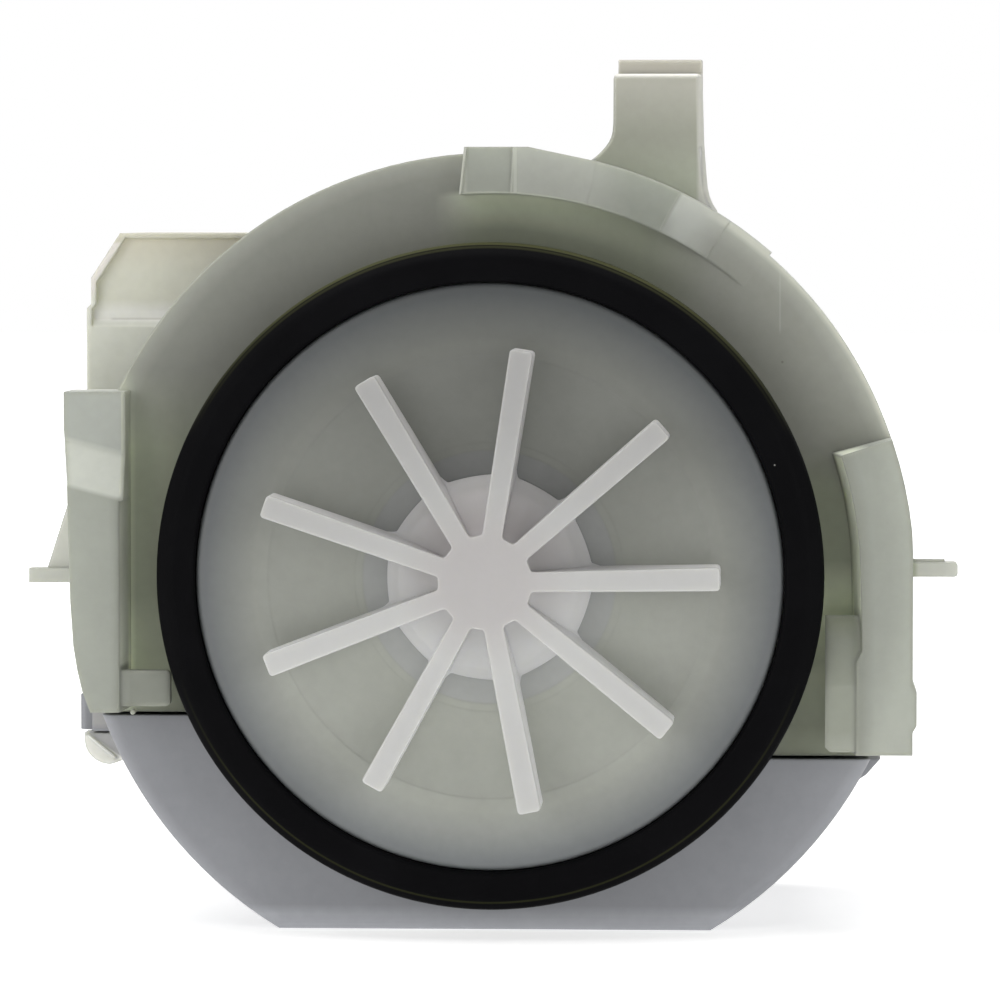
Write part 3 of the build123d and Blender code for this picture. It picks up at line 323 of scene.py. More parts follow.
def lug_fronts(g, x, y, z):
    """Fronts of the three lugs in painted light and shade: their ramps catch the light in turn, set-back
    faces are darker, and shade is painted along their inner edges.
    """
    proud, set_back = (0.298, 0.312, 0.272), (0.255, 0.27, 0.228)
    upper, foot, edge_shade = (0.27, 0.283, 0.245), (0.308, 0.32, 0.28), (0.15, 0.158, 0.128)
    lug = g.mix(g.span(y, 0.6, 3.8), proud, set_back)
    lug = g.mix(g.span(z, 12.0, 2.0, 0.5, 0.0), lug, upper)
    lug = g.mix(g.span(z, -12.5, -17.0), lug, foot)
    # Painted shade along the lugs' inner edges
    right_edge = g.product(g.span(x, 30.0, 31.0),
                           g.span(g.radius(x, g.largest(z, 0.0)), 38.5, 36.7, 0.0, 0.5))
    left_edge = g.product(g.span(x, -38.4, -37.4, 0.0, 0.3), g.span(x, -36.0, -37.0))
    lug = g.mix(g.sum(right_edge, left_edge), lug, edge_shade)

    # Top lug's facets in painted light and shade, with painted light on its shaded underside
    top_pocket, top_band, top_side = (0.262, 0.274, 0.236), (0.305, 0.315, 0.278), (0.46, 0.48, 0.385)
    top_landing, top_end = (0.24, 0.254, 0.217), (0.365, 0.377, 0.342)
    lug = g.mix(g.span(z, 30.0, 32.0), lug, g.mix(g.span(x, 2.4, 2.7), top_pocket, top_band))
    under = g.product(g.span(z, 28.0, 30.0), g.span(g.radius(x, z), 38.5, 38.3), g.span(y, 0.75, 1.05))
    lug = g.mix(under, lug, top_side)
    lug = g.mix(g.product(g.span(y, 3.6, 3.85), g.span(x, 10.0, 14.0)), lug, top_landing)
    lug = g.mix(g.product(g.span(y, 3.95, 4.15), g.span(x, 16.0, 18.5)), lug, top_end)

    # Painted highlight on the left lug's lead-in ramp, and painted light above it
    left_ramp, left_upper = (0.45, 0.465, 0.415), (0.335, 0.35, 0.315)
    slanted = g.sum(z, g.product(g.sum(x, 39.4), 0.262))
    left = g.span(x, -34.0, -35.0)
    lug = g.mix(g.product(left, g.span(slanted, 7.9, 8.4)), lug, left_ramp)
    return g.mix(g.product(left, g.span(slanted, 12.5, 13.0)), lug, left_upper)


def lug_tone(g, x, y, z, r):
    """Lugs in painted light and shade: their inner side walls painted light, their hook plates dimmer, and
    lighter towards their outer edges.
    """
    lug = lug_fronts(g, x, y, z)
    behind_face = g.span(y, 0.75, 1.05)

    # Painted light on the right lug's shaded inner wall, darker lower down
    right_wall, right_slot = (0.77, 0.81, 0.66), (0.3, 0.32, 0.25)
    wall = g.product(behind_face, g.span(x, 33.0, 33.5), g.span(r, 40.2, 39.8), g.span(z, 13.0, 12.5))
    lug = g.mix(wall, lug, g.mix(g.span(z, -3.2, -4.6), right_wall, right_slot))

    # Painted light on the left lug's shaded inner wall
    left_upper, left_middle = (0.44, 0.46, 0.375), (0.6, 0.62, 0.53)
    left_lower, left_foot = (0.76, 0.79, 0.68), (0.33, 0.345, 0.3)
    wall = g.product(behind_face, g.span(z, 19.4, 18.6), g.span(x, -37.42, -37.34),
                     g.span(x, -35.0, -36.0))
    pale = g.mix(g.span(z, 10.5, 7.0), left_upper, left_middle)
    pale = g.mix(g.span(z, -1.0, -8.0), pale, left_lower)
    pale = g.mix(g.span(z, -9.0, -9.5), pale, left_foot)
    lug = g.mix(wall, lug, pale)

    # Hook plates in painted shade, with painted light at their upper ends and feet
    plate_upper, plate_lower = (0.245, 0.263, 0.193), (0.274, 0.289, 0.238)
    plate_foot, plate_end, left_plate = (0.32, 0.332, 0.284), (0.4, 0.43, 0.32), (0.237, 0.248, 0.21)
    plate = g.mix(g.span(z, -4.0, -6.5), plate_upper, plate_lower)
    plate = g.mix(g.span(z, -15.5, -17.5), plate, plate_foot)
    plate = g.mix(g.span(z, -3.9, -3.5), plate, plate_end)
    plate = g.mix(g.span(x, 5.0, -5.0), plate, left_plate)
    hook = g.product(g.span(g.maths("ABSOLUTE", x), 37.0, 36.3), g.span(z, -3.0, -3.3), g.span(y, 3.3, 3.1))
    lug = g.mix(hook, lug, plate)

    # Painted light on the top lug's shaded end walls
    end_wall_light = (0.35, 0.362, 0.316)
    ends = g.largest(g.product(g.span(x, 2.2, 2.3), g.span(x, 2.62, 2.55)), g.span(x, -2.3, -2.6))
    lug = g.mix(g.product(ends, g.span(z, 34.0, 35.0), g.span(y, 0.7, 0.9)), lug, end_wall_light)
    # Painted light towards the lugs' outer edges
    outward = g.sum(g.span(r, 38.5, 42.6, 0.94, 1.05),
                    g.product(g.span(x, -20.0, -10.0), g.span(r, 40.0, 42.6, 0.0, 0.14)))
    return g.scaled(lug, outward)


def green_tone(g):
    """Pale green flange: ring, lugs and the side tabs, which are painted lighter to stand in for light
    through their thin walls.
    """
    tab = (0.58, 0.585, 0.54)
    x, y, z = g.axes()
    r = g.radius(x, z)
    lug = lug_tone(g, x, y, z, r)
    body = g.mix(g.span(y, 7.75, 5.6), ring_tone(g, x, y, z, r), lug)
    # Side tabs painted lighter, as painted light
    return g.mix(g.span(r, 42.45, 42.95), body, g.mix(g.span(y, 7.0, 8.4), lug, tab))


def lever_tone(g):
    """Springy arm: painted light towards its free end and at its foot, painted highlights along its right
    side and top edge, and its own tone on the hook head.
    """
    arm, free_end, foot = (0.305, 0.312, 0.258), (0.375, 0.372, 0.322), (0.365, 0.385, 0.31)
    side_highlight, bevel, head = (0.53, 0.53, 0.485), (0.75, 0.735, 0.69), (0.42, 0.405, 0.352)
    x, y, z = g.axes()
    # Painted light towards the free end and at the foot; painted highlights on the right side and top edge
    tone = g.mix(g.span(z, 44.5, 49.0), arm, free_end)
    tone = g.mix(g.span(z, 44.0, 40.0), tone, foot)
    tone = g.mix(g.span(x, 20.35, 20.7, 0.0, 0.85), tone, side_highlight)
    tone = g.mix(g.product(g.span(z, 50.05, 50.3), g.span(y, 12.9, 12.5)), tone, bevel)
    return g.mix(g.largest(g.span(y, 13.4, 13.8), g.span(z, 50.42, 50.5)), tone, head)


def cream_tone(g):
    """Connector: painted light inside its recess, lighter than its front, a painted highlight on its ledge
    with a dark line along it, and a lighter slanted face and darker top edge on its front.
    """
    recess_upper, recess_lower = (0.62, 0.6, 0.497), (0.6, 0.6, 0.51)
    ledge, ledge_dark_line = (0.69, 0.69, 0.64), (0.36, 0.35, 0.31)
    front, slant, top_rim = (0.566, 0.575, 0.51), (0.62, 0.595, 0.56), (0.5, 0.485, 0.41)
    x, y, z = g.axes()
    # Painted light in the recess and on the ledge; a darker line along the ledge
    recess = g.mix(g.span(z, 33.2, 30.0), recess_upper, recess_lower)
    recess = g.mix(g.span(z, 27.4, 26.2), recess, ledge)
    mark = g.product(g.span(g.off(z, LEDGE_LINE), 0.16, 0.04), g.span(x, -40.2, -39.8, 0.0, 0.45))
    recess = g.mix(mark, recess, ledge_dark_line)
    slanted = g.maths("SUBTRACT", z, g.product(x, 1.6))
    frame_front = g.mix(g.span(slanted, 94.4, 95.2), front, slant)
    frame_front = g.mix(g.span(z, 33.1, 33.4), frame_front, top_rim)
    return g.mix(g.span(y, 17.3, 17.7), frame_front, recess)


def latch_tone(g):
    """Rounded ear: light below its slanted rib, greyer above it, with a painted highlight along the rib."""
    below, above, rib = (0.64, 0.64, 0.6), (0.42, 0.42, 0.41), (0.75, 0.75, 0.71)
    x, y, z = g.axes()
    across = g.sum(z, g.product(x, 0.72))
    tone = g.mix(g.span(across, EAR_RIB - 0.25, EAR_RIB + 0.25), below, above)
    # Painted highlight along the rib
    return g.mix(g.span(g.off(across, EAR_RIB), 0.35, 0.1), tone, rib)


def face_tone(g):
    """Front disc, gently domed, with painted light: lighter on its lower side and towards the pocket;
    painted shade, dimmer and bluish, beside the seal and round the pocket's step.
    """
    middle, beside_seal = (0.245, 0.252, 0.225), (0.121, 0.129, 0.131)
    pocket_shade = (0.965, 0.96, 1.04)
    x, y, z = g.axes()
    r = g.largest(g.radius(x, z), 0.1)
    level = g.maths("SUBTRACT", 1.0, g.product(g.maths("DIVIDE", z, r), 0.38))
    level = g.maths("SUBTRACT", level, g.product(g.maths("DIVIDE", x, r), 0.01))
    # Painted light: lighter on the lower side and towards the pocket
    level = g.product(level, g.span(r, 12.0, 24.0, 1.5, 0.93))
    # Painted shade beside the seal and round the pocket's step
    tone = g.mix(g.span(r, 23.5, 28.4), middle, beside_seal)
    return g.scaled(g.mix(g.span(r, 12.75, 12.55), tone, pocket_shade, blend="MULTIPLY"), level)


def impeller_tone(g):
    """Impeller in painted shade: the cone between the blades is darker at its roots and on its upper side,
    and the blades are darker on their upper side.
    """
    root_above, root_below = (0.27, 0.24, 0.238), (0.53, 0.53, 0.525)
    edge_above, edge_below = (0.52, 0.51, 0.505), (0.7, 0.7, 0.695)
    blade_below, blade_above, hub = (0.455, 0.455, 0.446), (0.325, 0.322, 0.316), (0.36, 0.333, 0.33)
    x, y, z = g.axes()
    r = g.radius(x, z)
    # Painted shade: darker higher up and at the cone's roots
    low = g.span(z, 9.0, -7.0)
    root = g.mix(low, root_above, root_below)
    cone = g.mix(g.span(r, 5.5, 9.8), root, g.mix(low, edge_above, edge_below))
    blade = g.mix(g.span(z, -6.0, 18.0), blade_below, blade_above)
    blade = g.mix(g.span(r, 4.0, 9.0, 0.5, 1.0), hub, blade)
    return g.mix(g.span(y, -10.3, -9.6), blade, cone)


def grey_tone(g):
    """Grey drum, a little lighter towards its right, with painted light under the seal and along its
    bottom, a painted highlight along the rounded front edge of its plate, and its paler clip.
    """
    clip_grey = (0.335, 0.33, 0.325)
    x, y, z = g.axes()
    front = g.span(y, 9.5, 8.4)
    # Painted light under the seal, painted highlight along the plate's front edge, painted light along the
    # bottom
    middle = g.product(g.span(x, -22.0, -8.0), g.span(x, 22.0, 8.0), front)
    tone = g.mix(g.span(x, 5.0, 35.0), GREY, shade(GREY, 1.08))
    tone = g.scaled(tone, g.span(middle, 0.0, 1.0, 1.0, 1.07))
    tone = g.mix(g.product(front, g.span(g.radius(x, z), 41.5, 42.4)), tone, shade(GREY, 1.08))
    tone = g.mix(g.product(front, g.span(z, -33.9, -34.9)), tone, shade(GREY, 1.42))
    clip = g.product(g.span(x, -38.0, -38.3), g.span(z, -16.6, -15.9), g.span(y, 8.8, 9.2),
                     g.span(y, 13.2, 12.8))
    return g.mix(clip, tone, clip_grey)


# Materials

def moulded(name, colour, edge=1.18, rough=0.45, edge_radius=0.35, speck=0.5, glow=None, drift=0.05,
            tone=None, milky=0.0):
    """Moulded plastic: broad cloudiness, fine grain, a few specks, and soft lighter edges of wear and
    painted highlight.
    """
    material, tree = nodes_of(name)
    g = Graph(tree)
    rounded_normal, edge_wear_and_highlight = g.edges(edge_radius)
    cloud = g.span(g.noise(55.0), 0.3, 0.7, 1 - drift, 1 + drift)
    fine = g.span(g.noise(900.0, 4.0), 0.35, 0.75, 1.0, 1 - drift)
    base = g.scaled(tone(g) if tone else colour, g.product(cloud, fine))
    # Lighter edges: wear, and painted highlight
    base = g.mix(g.product(edge_wear_and_highlight, 0.8), base, shade(glow or colour, edge))
    speck_colour = (colour[0] * 0.25, colour[1] * 0.23, colour[2] * 0.18)
    base = g.mix(g.product(g.specks(170.0, 0.028, 0.16), speck), base, speck_colour)
    grainy = g.noise(2600.0, 2.0)
    height = g.sum(g.product(grainy, 0.5), g.noise(140.0, 2.0))
    shader = g.finish(Base_Color=base, Roughness=g.span(grainy, 0.2, 0.8, rough - 0.06, rough + 0.08),
                      Specular_IOR_Level=0.4, Normal=g.bump(height, 0.00002, 0.6, rounded_normal))
    shader.inputs["Subsurface Weight"].default_value = milky
    shader.inputs["Subsurface Radius"].default_value = (1.0, 1.0, 0.8)
    shader.inputs["Subsurface Scale"].default_value = 0.0016
    return material


def paint_reflected_tint(g, base, reflected_tint):
    """Painted reflection, olive, on the seal's upper outer edge, and a faint painted highlight line low
    down.
    """
    x, y, z = g.axes()
    r = g.radius(x, z)
    second_line = g.product(g.span(r, 32.75, 32.9, 0.0, 0.4), g.span(r, 33.08, 33.0))
    band = g.sum(g.span(r, 33.08, 33.2), second_line)
    upper = g.product(band, g.span(z, 14.0, 30.0), g.span(y, -0.9, -0.2, 1.0, 0.1))
    base = g.mix(upper, base, shade(reflected_tint, 0.75))
    thin = g.product(g.span(r, 32.42, 32.5), g.span(r, 32.72, 32.62), g.span(z, -10.0, -22.0))
    return g.mix(thin, base, shade(reflected_tint, 0.2))


def rubber(name, colour, dust=0.3, specular=0.3, reflected_tint=None):
    """Black rubber with a fine matt skin, faint smears and a little dust."""
    dust_colour = (0.3, 0.3, 0.28)
    material, tree = nodes_of(name)
    g = Graph(tree)
    rounded_normal, edge_wear_and_highlight = g.edges(0.25)
    smear = g.span(g.noise(120.0, 4.0, 0.6), 0.45, 0.75)
    base = g.mix(g.product(smear, 0.5), colour, shade(colour, 1.7))
    # Lighter edges: wear, and painted highlight
    base = g.mix(g.product(edge_wear_and_highlight, 0.35), base, shade(colour, 2.4))
    base = g.mix(g.product(g.specks(420.0, 0.045, 0.07), dust), base, dust_colour)
    # Painted reflection and highlight on the seal's outer edge
    if reflected_tint:
        base = paint_reflected_tint(g, base, reflected_tint)
    fine = g.noise(3200.0)
    g.finish(Base_Color=base, Roughness=g.span(fine, 0.2, 0.8, 0.4, 0.62), Specular_IOR_Level=specular,
             Normal=g.bump(fine, 0.00002, 0.5, rounded_normal))
    return material


def laminated(name, colour):
    """Pack of steel sheets seen on edge, half a millimetre each."""
    material, tree = nodes_of(name)
    g = Graph(tree)
    rounded_normal, edge_wear_and_highlight = g.edges(0.2)
    sheets = g.wave(320.0, 0.4, bands_direction="Y")
    stain = g.span(g.noise(90.0, 4.0), 0.35, 0.7)
    base = g.mix(stain, shade(colour, 0.75), shade(colour, 1.15))
    base = g.mix(g.product(edge_wear_and_highlight, 0.5), base, shade(colour, 1.8))
    g.finish(Base_Color=base, Metallic=0.9, Roughness=g.span(stain, 0.0, 1.0, 0.4, 0.6),
             Normal=g.bump(sheets, 0.00015, 0.7, rounded_normal))
    return material


def wound(name, colour):
    """Enamelled wire, laid in even turns."""
    material, tree = nodes_of(name)
    g = Graph(tree)
    turns = g.wave(480.0, 0.8, bands_direction="Z", wave_profile="SIN")
    stain = g.span(g.noise(160.0), 0.3, 0.7)
    g.finish(Base_Color=g.mix(stain, shade(colour, 0.8), shade(colour, 1.2)), Metallic=0.85,
             Roughness=0.3, Coat_Weight=0.4, Normal=g.bump(turns, 0.00012, 0.8))
    return material


def metal(name, colour, rough=0.3, lines=1800.0):
    """Plain metal with fine tool lines and slight staining."""
    material, tree = nodes_of(name)
    g = Graph(tree)
    rounded_normal, edge_wear_and_highlight = g.edges(0.15)
    stain = g.span(g.noise(220.0, 4.0), 0.35, 0.7)
    base = g.mix(stain, shade(colour, 0.85), shade(colour, 1.08))
    base = g.mix(g.product(edge_wear_and_highlight, 0.5), base, shade(colour, 1.25))
    fine = g.noise(lines)
    g.finish(Base_Color=base, Metallic=1.0, Roughness=g.span(fine, 0.2, 0.8, rough - 0.08, rough + 0.1),
             Normal=g.bump(fine, 0.00001, 0.5, rounded_normal))
    return material


def ceramic(name, colour):
    """Smooth sintered ring, faintly speckled."""
    material, tree = nodes_of(name)
    g = Graph(tree)
    rounded_normal, edge_wear_and_highlight = g.edges(0.2)
    base = g.mix(g.span(g.noise(700.0, 4.0), 0.35, 0.7), shade(colour, 0.9), shade(colour, 1.08))
    base = g.mix(g.product(edge_wear_and_highlight, 0.5), base, shade(colour, 1.2))
    fine = g.noise(2500.0, 2.0)
    g.finish(Base_Color=base, Roughness=g.span(fine, 0.2, 0.8, 0.22, 0.34),
             Normal=g.bump(fine, 0.000008, 0.4, rounded_normal))
    return material


PALE_GREEN = (0.335, 0.35, 0.305)
GREY = (0.235, 0.24, 0.255)
MATERIALS = {
    "seal_rubber": rubber("seal_rubber_mat", (0.0028, 0.0028, 0.0032), dust=0.6, specular=0.02,
                          reflected_tint=(0.075, 0.078, 0.036)),
    "mount_rubber": rubber("mount_rubber_mat", (0.02, 0.02, 0.02)),
    "pale_green_plastic": moulded("pale_green_mat", PALE_GREEN, glow=(0.36, 0.37, 0.325), edge=1.0,
                                  tone=green_tone, milky=0.5),
    "lug_plastic": moulded("lug_mat", PALE_GREEN, glow=(0.3, 0.31, 0.27), edge=1.0, edge_radius=0.9,
                           tone=green_tone, milky=0.5),
    "latch_plastic": moulded("latch_mat", PALE_GREEN, speck=0.1, edge=1.1, tone=latch_tone, milky=0.5),
    "lever_plastic": moulded("lever_mat", PALE_GREEN, glow=(0.6, 0.595, 0.55), edge=1.0,
                             tone=lever_tone, milky=0.5),
    "face_plastic": moulded("face_mat", (0.2, 0.205, 0.198), rough=0.38, speck=0.6, tone=face_tone,
                            milky=0.3),
    "grey_plastic": moulded("grey_mat", GREY, rough=0.55, edge=1.15, tone=grey_tone),
    "cream_plastic": moulded("cream_mat", (0.55, 0.545, 0.46), rough=0.42, speck=0.1, edge=1.1,
                             tone=cream_tone, milky=0.5),
    "impeller_plastic": moulded("impeller_mat", (0.5, 0.49, 0.485), rough=0.4, speck=0.15, edge=1.04,
                                edge_radius=0.15, drift=0.02, tone=impeller_tone, milky=0.5),
    "bobbin_plastic": moulded("bobbin_mat", (0.62, 0.61, 0.55), speck=0.1),
    "dark_plastic": moulded("dark_mat", (0.03, 0.03, 0.033), speck=0.0, edge=1.6),
    "bearing_ceramic": ceramic("ceramic_mat", (0.62, 0.6, 0.55)),
    "lamination_steel": laminated("lamination_mat", (0.3, 0.3, 0.31)),
    "enamelled_wire": wound("wire_mat", (0.5, 0.19, 0.07)),
    "tinned_brass": metal("brass_mat", (0.68, 0.66, 0.58)),
    "shaft_steel": metal("shaft_mat", (0.6, 0.6, 0.61), rough=0.22, lines=2600.0),
    "ferrite": metal("ferrite_mat", (0.09, 0.09, 0.095), rough=0.5),
}


# Mesh helpers

def add_object(name, data):
    obj = bpy.data.objects.new(name, data)
    bpy.context.scene.collection.objects.link(obj)
    return obj


def soft_edges(obj, width, limit):
    modifier = obj.modifiers.new("soft edges", "BEVEL")
    modifier.width = width * MM
    modifier.segments = 3
    modifier.limit_method = "ANGLE"
    modifier.angle_limit = math.radians(limit)
    modifier.harden_normals = True


def piece(name, bm, slot, body, replaces=(), sharp=35.0, bevel=0.0, look=None):
    """Turns a bmesh into a finished piece that rides on a body."""
    bmesh.ops.recalc_face_normals(bm, faces=bm.faces)
    mesh = bpy.data.meshes.new(name)
    bm.to_mesh(mesh)
    bm.free()
    for polygon in mesh.polygons:
        polygon.use_smooth = True
    mesh.set_sharp_from_angle(angle=math.radians(sharp))
    obj = add_object(name, mesh)
    obj.data.materials.append(MATERIALS[look or slot])
    if bevel:
        soft_edges(obj, bevel, 30)
    if body:
        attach(obj, body)
    if replaces:
        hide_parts(*replaces)
    return obj


def soften(name, width):
    """Merges a node's flat faces and rounds its sharp edges."""
    node = frame["nodes"][name]
    merge = node.modifiers.new("merge flat faces", "DECIMATE")
    merge.decimate_type = "DISSOLVE"
    merge.angle_limit = math.radians(0.6)
    soft_edges(node, width, 38)


def rounded(points, radii, steps=5):
    """Corners of a closed outline replaced by short arcs; a radius of 0 keeps the corner."""
    out = []
    for i, (point, radius) in enumerate(zip(points, radii)):
        if radius <= 0:
            out.append(tuple(point))
            continue
        p = Vector(point)
        before = Vector(points[i - 1]) - p
        after = Vector(points[(i + 1) % len(points)]) - p
        reach = min(radius, 0.48 * before.length, 0.48 * after.length)
        a = p + before.normalized() * reach
        b = p + after.normalized() * reach
        for k in range(steps + 1):
            t = k / steps
            out.append(tuple(a * (1 - t) ** 2 + p * 2 * t * (1 - t) + b * t ** 2))
    return out


def loft(rings, closed=False):
    """Skin through rings of points in millimetres, with capped ends unless it closes on itself."""
    bm = bmesh.new()
    loops = [[bm.verts.new([c * MM for c in point]) for point in ring] for ring in rings]
    following = loops[1:] + loops[:1] if closed else loops[1:]
    for a, b in zip(loops, following):
        for i in range(len(a)):
            j = (i + 1) % len(a)
            bm.faces.new((a[i], a[j], b[j], b[i]))
    if not closed:
        bm.faces.new(loops[0][::-1])
        bm.faces.new(loops[-1])
    return bm


def lathe(profile, segments=AXIS_SEGMENTS, stretch=None):
    """Closed profile of radius and Y, turned round the pump's axis."""
    rings = []
    for i in range(segments):
        angle = 2 * math.pi * i / segments
        c, s = math.cos(angle), math.sin(angle)
        reach = [(stretch(r, y, angle) if stretch else r, y) for r, y in profile]
        rings.append([(q * c, y, q * s) for q, y in reach])
    return loft(rings, closed=True)


# Seal and the pip under the left lug

def make_seal():
    inner = SPIGOT_R + 0.02
    points = [(LIP_R, 0.25 - SEAL_HALF), (LIP_R + 0.25, -SEAL_HALF), (32.0, -SEAL_HALF),
              (SEAL_R - 0.15, -1.75), (SEAL_R, -1.3), (SEAL_R, 1.3), (SEAL_BACK_R, SEAL_HALF),
              (inner, SEAL_HALF), (inner, SEAT_Y), (LIP_R, SEAT_Y)]
    profile = rounded(points, [0.2, 0.2, 0.6, 0.4, 0.5, 0.5, 0.3, 0.1, 0, 0.1], 6)
    piece("seal_skin", lathe(profile), "seal_rubber", "housing", ["seal_ring"], sharp=50)


def make_pip():
    """Small moulding pip under the left lug."""
    middle_x, middle_z, pip_r = -36.05, -13.86, 0.24
    turns = [2 * math.pi * i / PIP_SEGMENTS for i in range(PIP_SEGMENTS)]
    rings = []
    for y, share in ((0.7, 0.55), (0.62, 0.9), (0.7, 1.0), (1.9, 1.0)):
        r = pip_r * share
        rings.append([(middle_x + r * math.cos(turn), y, middle_z + r * math.sin(turn))
                      for turn in turns])
    piece("lug_pip", loft(rings), "pale_green_plastic", "housing")


# Face plate

def make_face():
    """Front disc with its pocket, two fine witness grooves, the step and the bearing's tube behind."""
    front = FACE_Y - 0.02
    edge = LIP_R - 0.05
    disc = [(SHAFT_HOLE_R, POCKET_Y), (POCKET_R, POCKET_Y), (POCKET_R, FACE_FLOOR), (12.62, FACE_FLOOR),
            (12.74, FACE_FLOOR - 0.035), (13.4, FACE_FLOOR - 0.035), (13.52, FACE_FLOOR - 0.07),
            (22.1, FACE_Y + 0.02), (22.2, front), (edge, front), (edge, FACE_BACK)]
    disc_radii = [0, 0.2, 0.15, 0.03, 0.03, 0.03, 0.03, 0.02, 0.02, 0.6, 0.05]
    behind = [(28.58, FACE_BACK), (28.58, 2.2), (26.58, 2.2), (26.58, FACE_BACK), (12.2, FACE_BACK),
              (12.2, 3.2), (8.82, 3.2), (8.82, 8.9), (7.22, 8.9), (7.22, 3.2), (SHAFT_HOLE_R, 3.2)]
    behind_radii = [0, 0.1, 0.1, 0, 0, 0.2, 0, 0.1, 0.1, 0, 0]
    profile = rounded(disc + behind, disc_radii + behind_radii)
    piece("face_skin", lathe(profile), "face_plastic", "housing", ["face_plate"])


# Impeller

def blade_back(x, z):
    """Depth of a blade's rear edge, which follows the domed face."""
    r = math.hypot(x, z)
    if r <= STEP_R:
        return -2.3
    return -2.6 - 2.0 * (r - STEP_R) / (IMPELLER_R - STEP_R)


def star_outline():
    """Hub with its straight blades, seen from the front."""
    root, waist, tip = 0.99, 1.07, 1.15
    start = math.sqrt(HUB_R ** 2 - root ** 2)
    blade = [(start, -root), (STEP_R, -waist), (IMPELLER_R, -tip), (IMPELLER_R, tip), (STEP_R, waist),
             (start, root)]
    out = []
    for k in range(BLADES):
        turn = math.radians(BLADE_ANGLE + BLADE_PITCH * k)
        c, s = math.cos(turn), math.sin(turn)
        out += [(u * c - v * s, u * s + v * c) for u, v in blade]
    return rounded(out, [0.35, 0, 0.45, 0.45, 0, 0.35] * BLADES, 4)


def web_reach(angle):
    """Radius of the scalloped disc at an angle: an arc between blades, with a small fillet at each."""
    turn = (math.degrees(angle) - BLADE_ANGLE) % BLADE_PITCH
    off = min(turn, BLADE_PITCH - turn)
    arc = 10.42 - 0.22 * math.cos(math.radians((BLADE_PITCH / 2 - off) * 4.5))
    fillet = max(0.0, 1.0 - max(0.0, off - 5.3) / 2.6)
    return arc + 0.85 * fillet ** 2.4


def web_stretch(r, y, angle):
    """Radius of a point of the disc's profile, drawn in or out to the scalloped edge."""
    if r <= WEB_ROOT_R or y > WEB_BACK + 0.2:
        return r
    share = (r - WEB_ROOT_R) / (WEB_R - WEB_ROOT_R)
    return WEB_ROOT_R + share * (web_reach(angle) - WEB_ROOT_R)


def make_impeller():
    star = star_outline()
    blades = loft([[(x, IMPELLER_Y, z) for x, z in star], [(x, blade_back(x, z), z) for x, z in star]])
    piece("impeller_blades", blades, "impeller_plastic", "impeller", ["impeller"], bevel=0.16)
    points = [(BORE_R, -5.7), (BORE_R, -10.4), (4.4, -10.4), (4.8, -9.6), (8.3, -5.3), (WEB_R, -1.95),
              (WEB_R, WEB_BACK), (9.6, WEB_BACK), (9.6, 0.8), (8.92, 0.8), (8.92, -0.2), (7.9, -0.2),
              (7.9, -4.4), (BORE_R, -4.4)]
    profile = rounded(points, [0, 0, 0, 0.6, 2.6, 0.35, 0.08, 0.2, 0.15, 0.05, 0, 0, 0.3, 0], 6)
    web = lathe(profile, WEB_SEGMENTS, web_stretch)
    piece("impeller_web", web, "impeller_plastic", "impeller", ["impeller"], sharp=40)


# Lock lever

def lever_reach(x, z):
    """How far the rounding of the arm's edges goes in."""
    if x > 20.6 and z > 35.5:
        return 0.62
    return 0.4 if z > 50.1 else 0.18


def lever_rings(outline):
    """Outline of the arm at several depths, drawn in towards its front and back edges."""
    centre = Vector((16.3, 43.0))
    depths = [(LEVER_FRONT, 1.0), (LEVER_FRONT + 0.12, 0.62), (LEVER_FRONT + 0.34, 0.26),
              (LEVER_FRONT + 0.62, 0.0), (LEVER_BACK - 0.4, 0.0), (LEVER_BACK - 0.1, 0.35),
              (LEVER_BACK, 1.0)]
    rings = []
    for y, share in depths:
        ring = []
        for i, point in enumerate(outline):
            along = (Vector(outline[(i + 1) % len(outline)]) - Vector(outline[i - 1])).normalized()
            normal = Vector((along.y, -along.x))
            q = Vector(point)
            if (q + normal - centre).length < (q - centre).length:
                normal = -normal
            q = q - normal * lever_reach(*point) * share
            ring.append((q.x, y, q.y))
        rings.append(ring)
    return rings


def make_lever():
    """Arm with its flared root in one piece, and the hook head behind it."""
    left = [(7.6, 40.7), (8.7, 41.15), (9.75, 41.7), (10.25, 42.08), (10.7, 42.5), (11.15, 43.0),
            (11.5, 43.5), (11.75, 44.05), (11.88, 44.6), (11.95, 45.5), (11.97, 49.9), (12.08, 50.28),
            (12.4, 50.42)]
    right = [(20.55, 50.42), (20.85, 50.25), (20.98, 49.9), (21.04, 47.8), (21.1, 45.5), (21.16, 43.4),
             (21.24, 42.2), (21.34, 41.0), (21.42, 39.9), (21.52, 38.9), (21.72, 38.0), (22.05, 37.2),
             (22.5, 36.5)]
    root = [(22.4, 34.6), (7.6, 36.6)]
    lever = piece("lever_skin", loft(lever_rings(left + right + root)), "pale_green_plastic", None,
                  ["lock_lever"], sharp=24, look="lever_plastic")
    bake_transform(lever)

    side = rounded([(13.1, 48.2), (19.45, 48.2), (19.45, 50.4), (17.95, 51.88), (13.1, 51.88)],
                   [0.1, 0.3, 0.5, 0.5, 0.3], 4)
    head = loft([[(x, y, z) for y, z in side] for x in (12.42, 20.93)])
    piece("lever_head", head, "pale_green_plastic", "lever", ["lock_lever"], bevel=0.3,
          look="lever_plastic")


# Stage

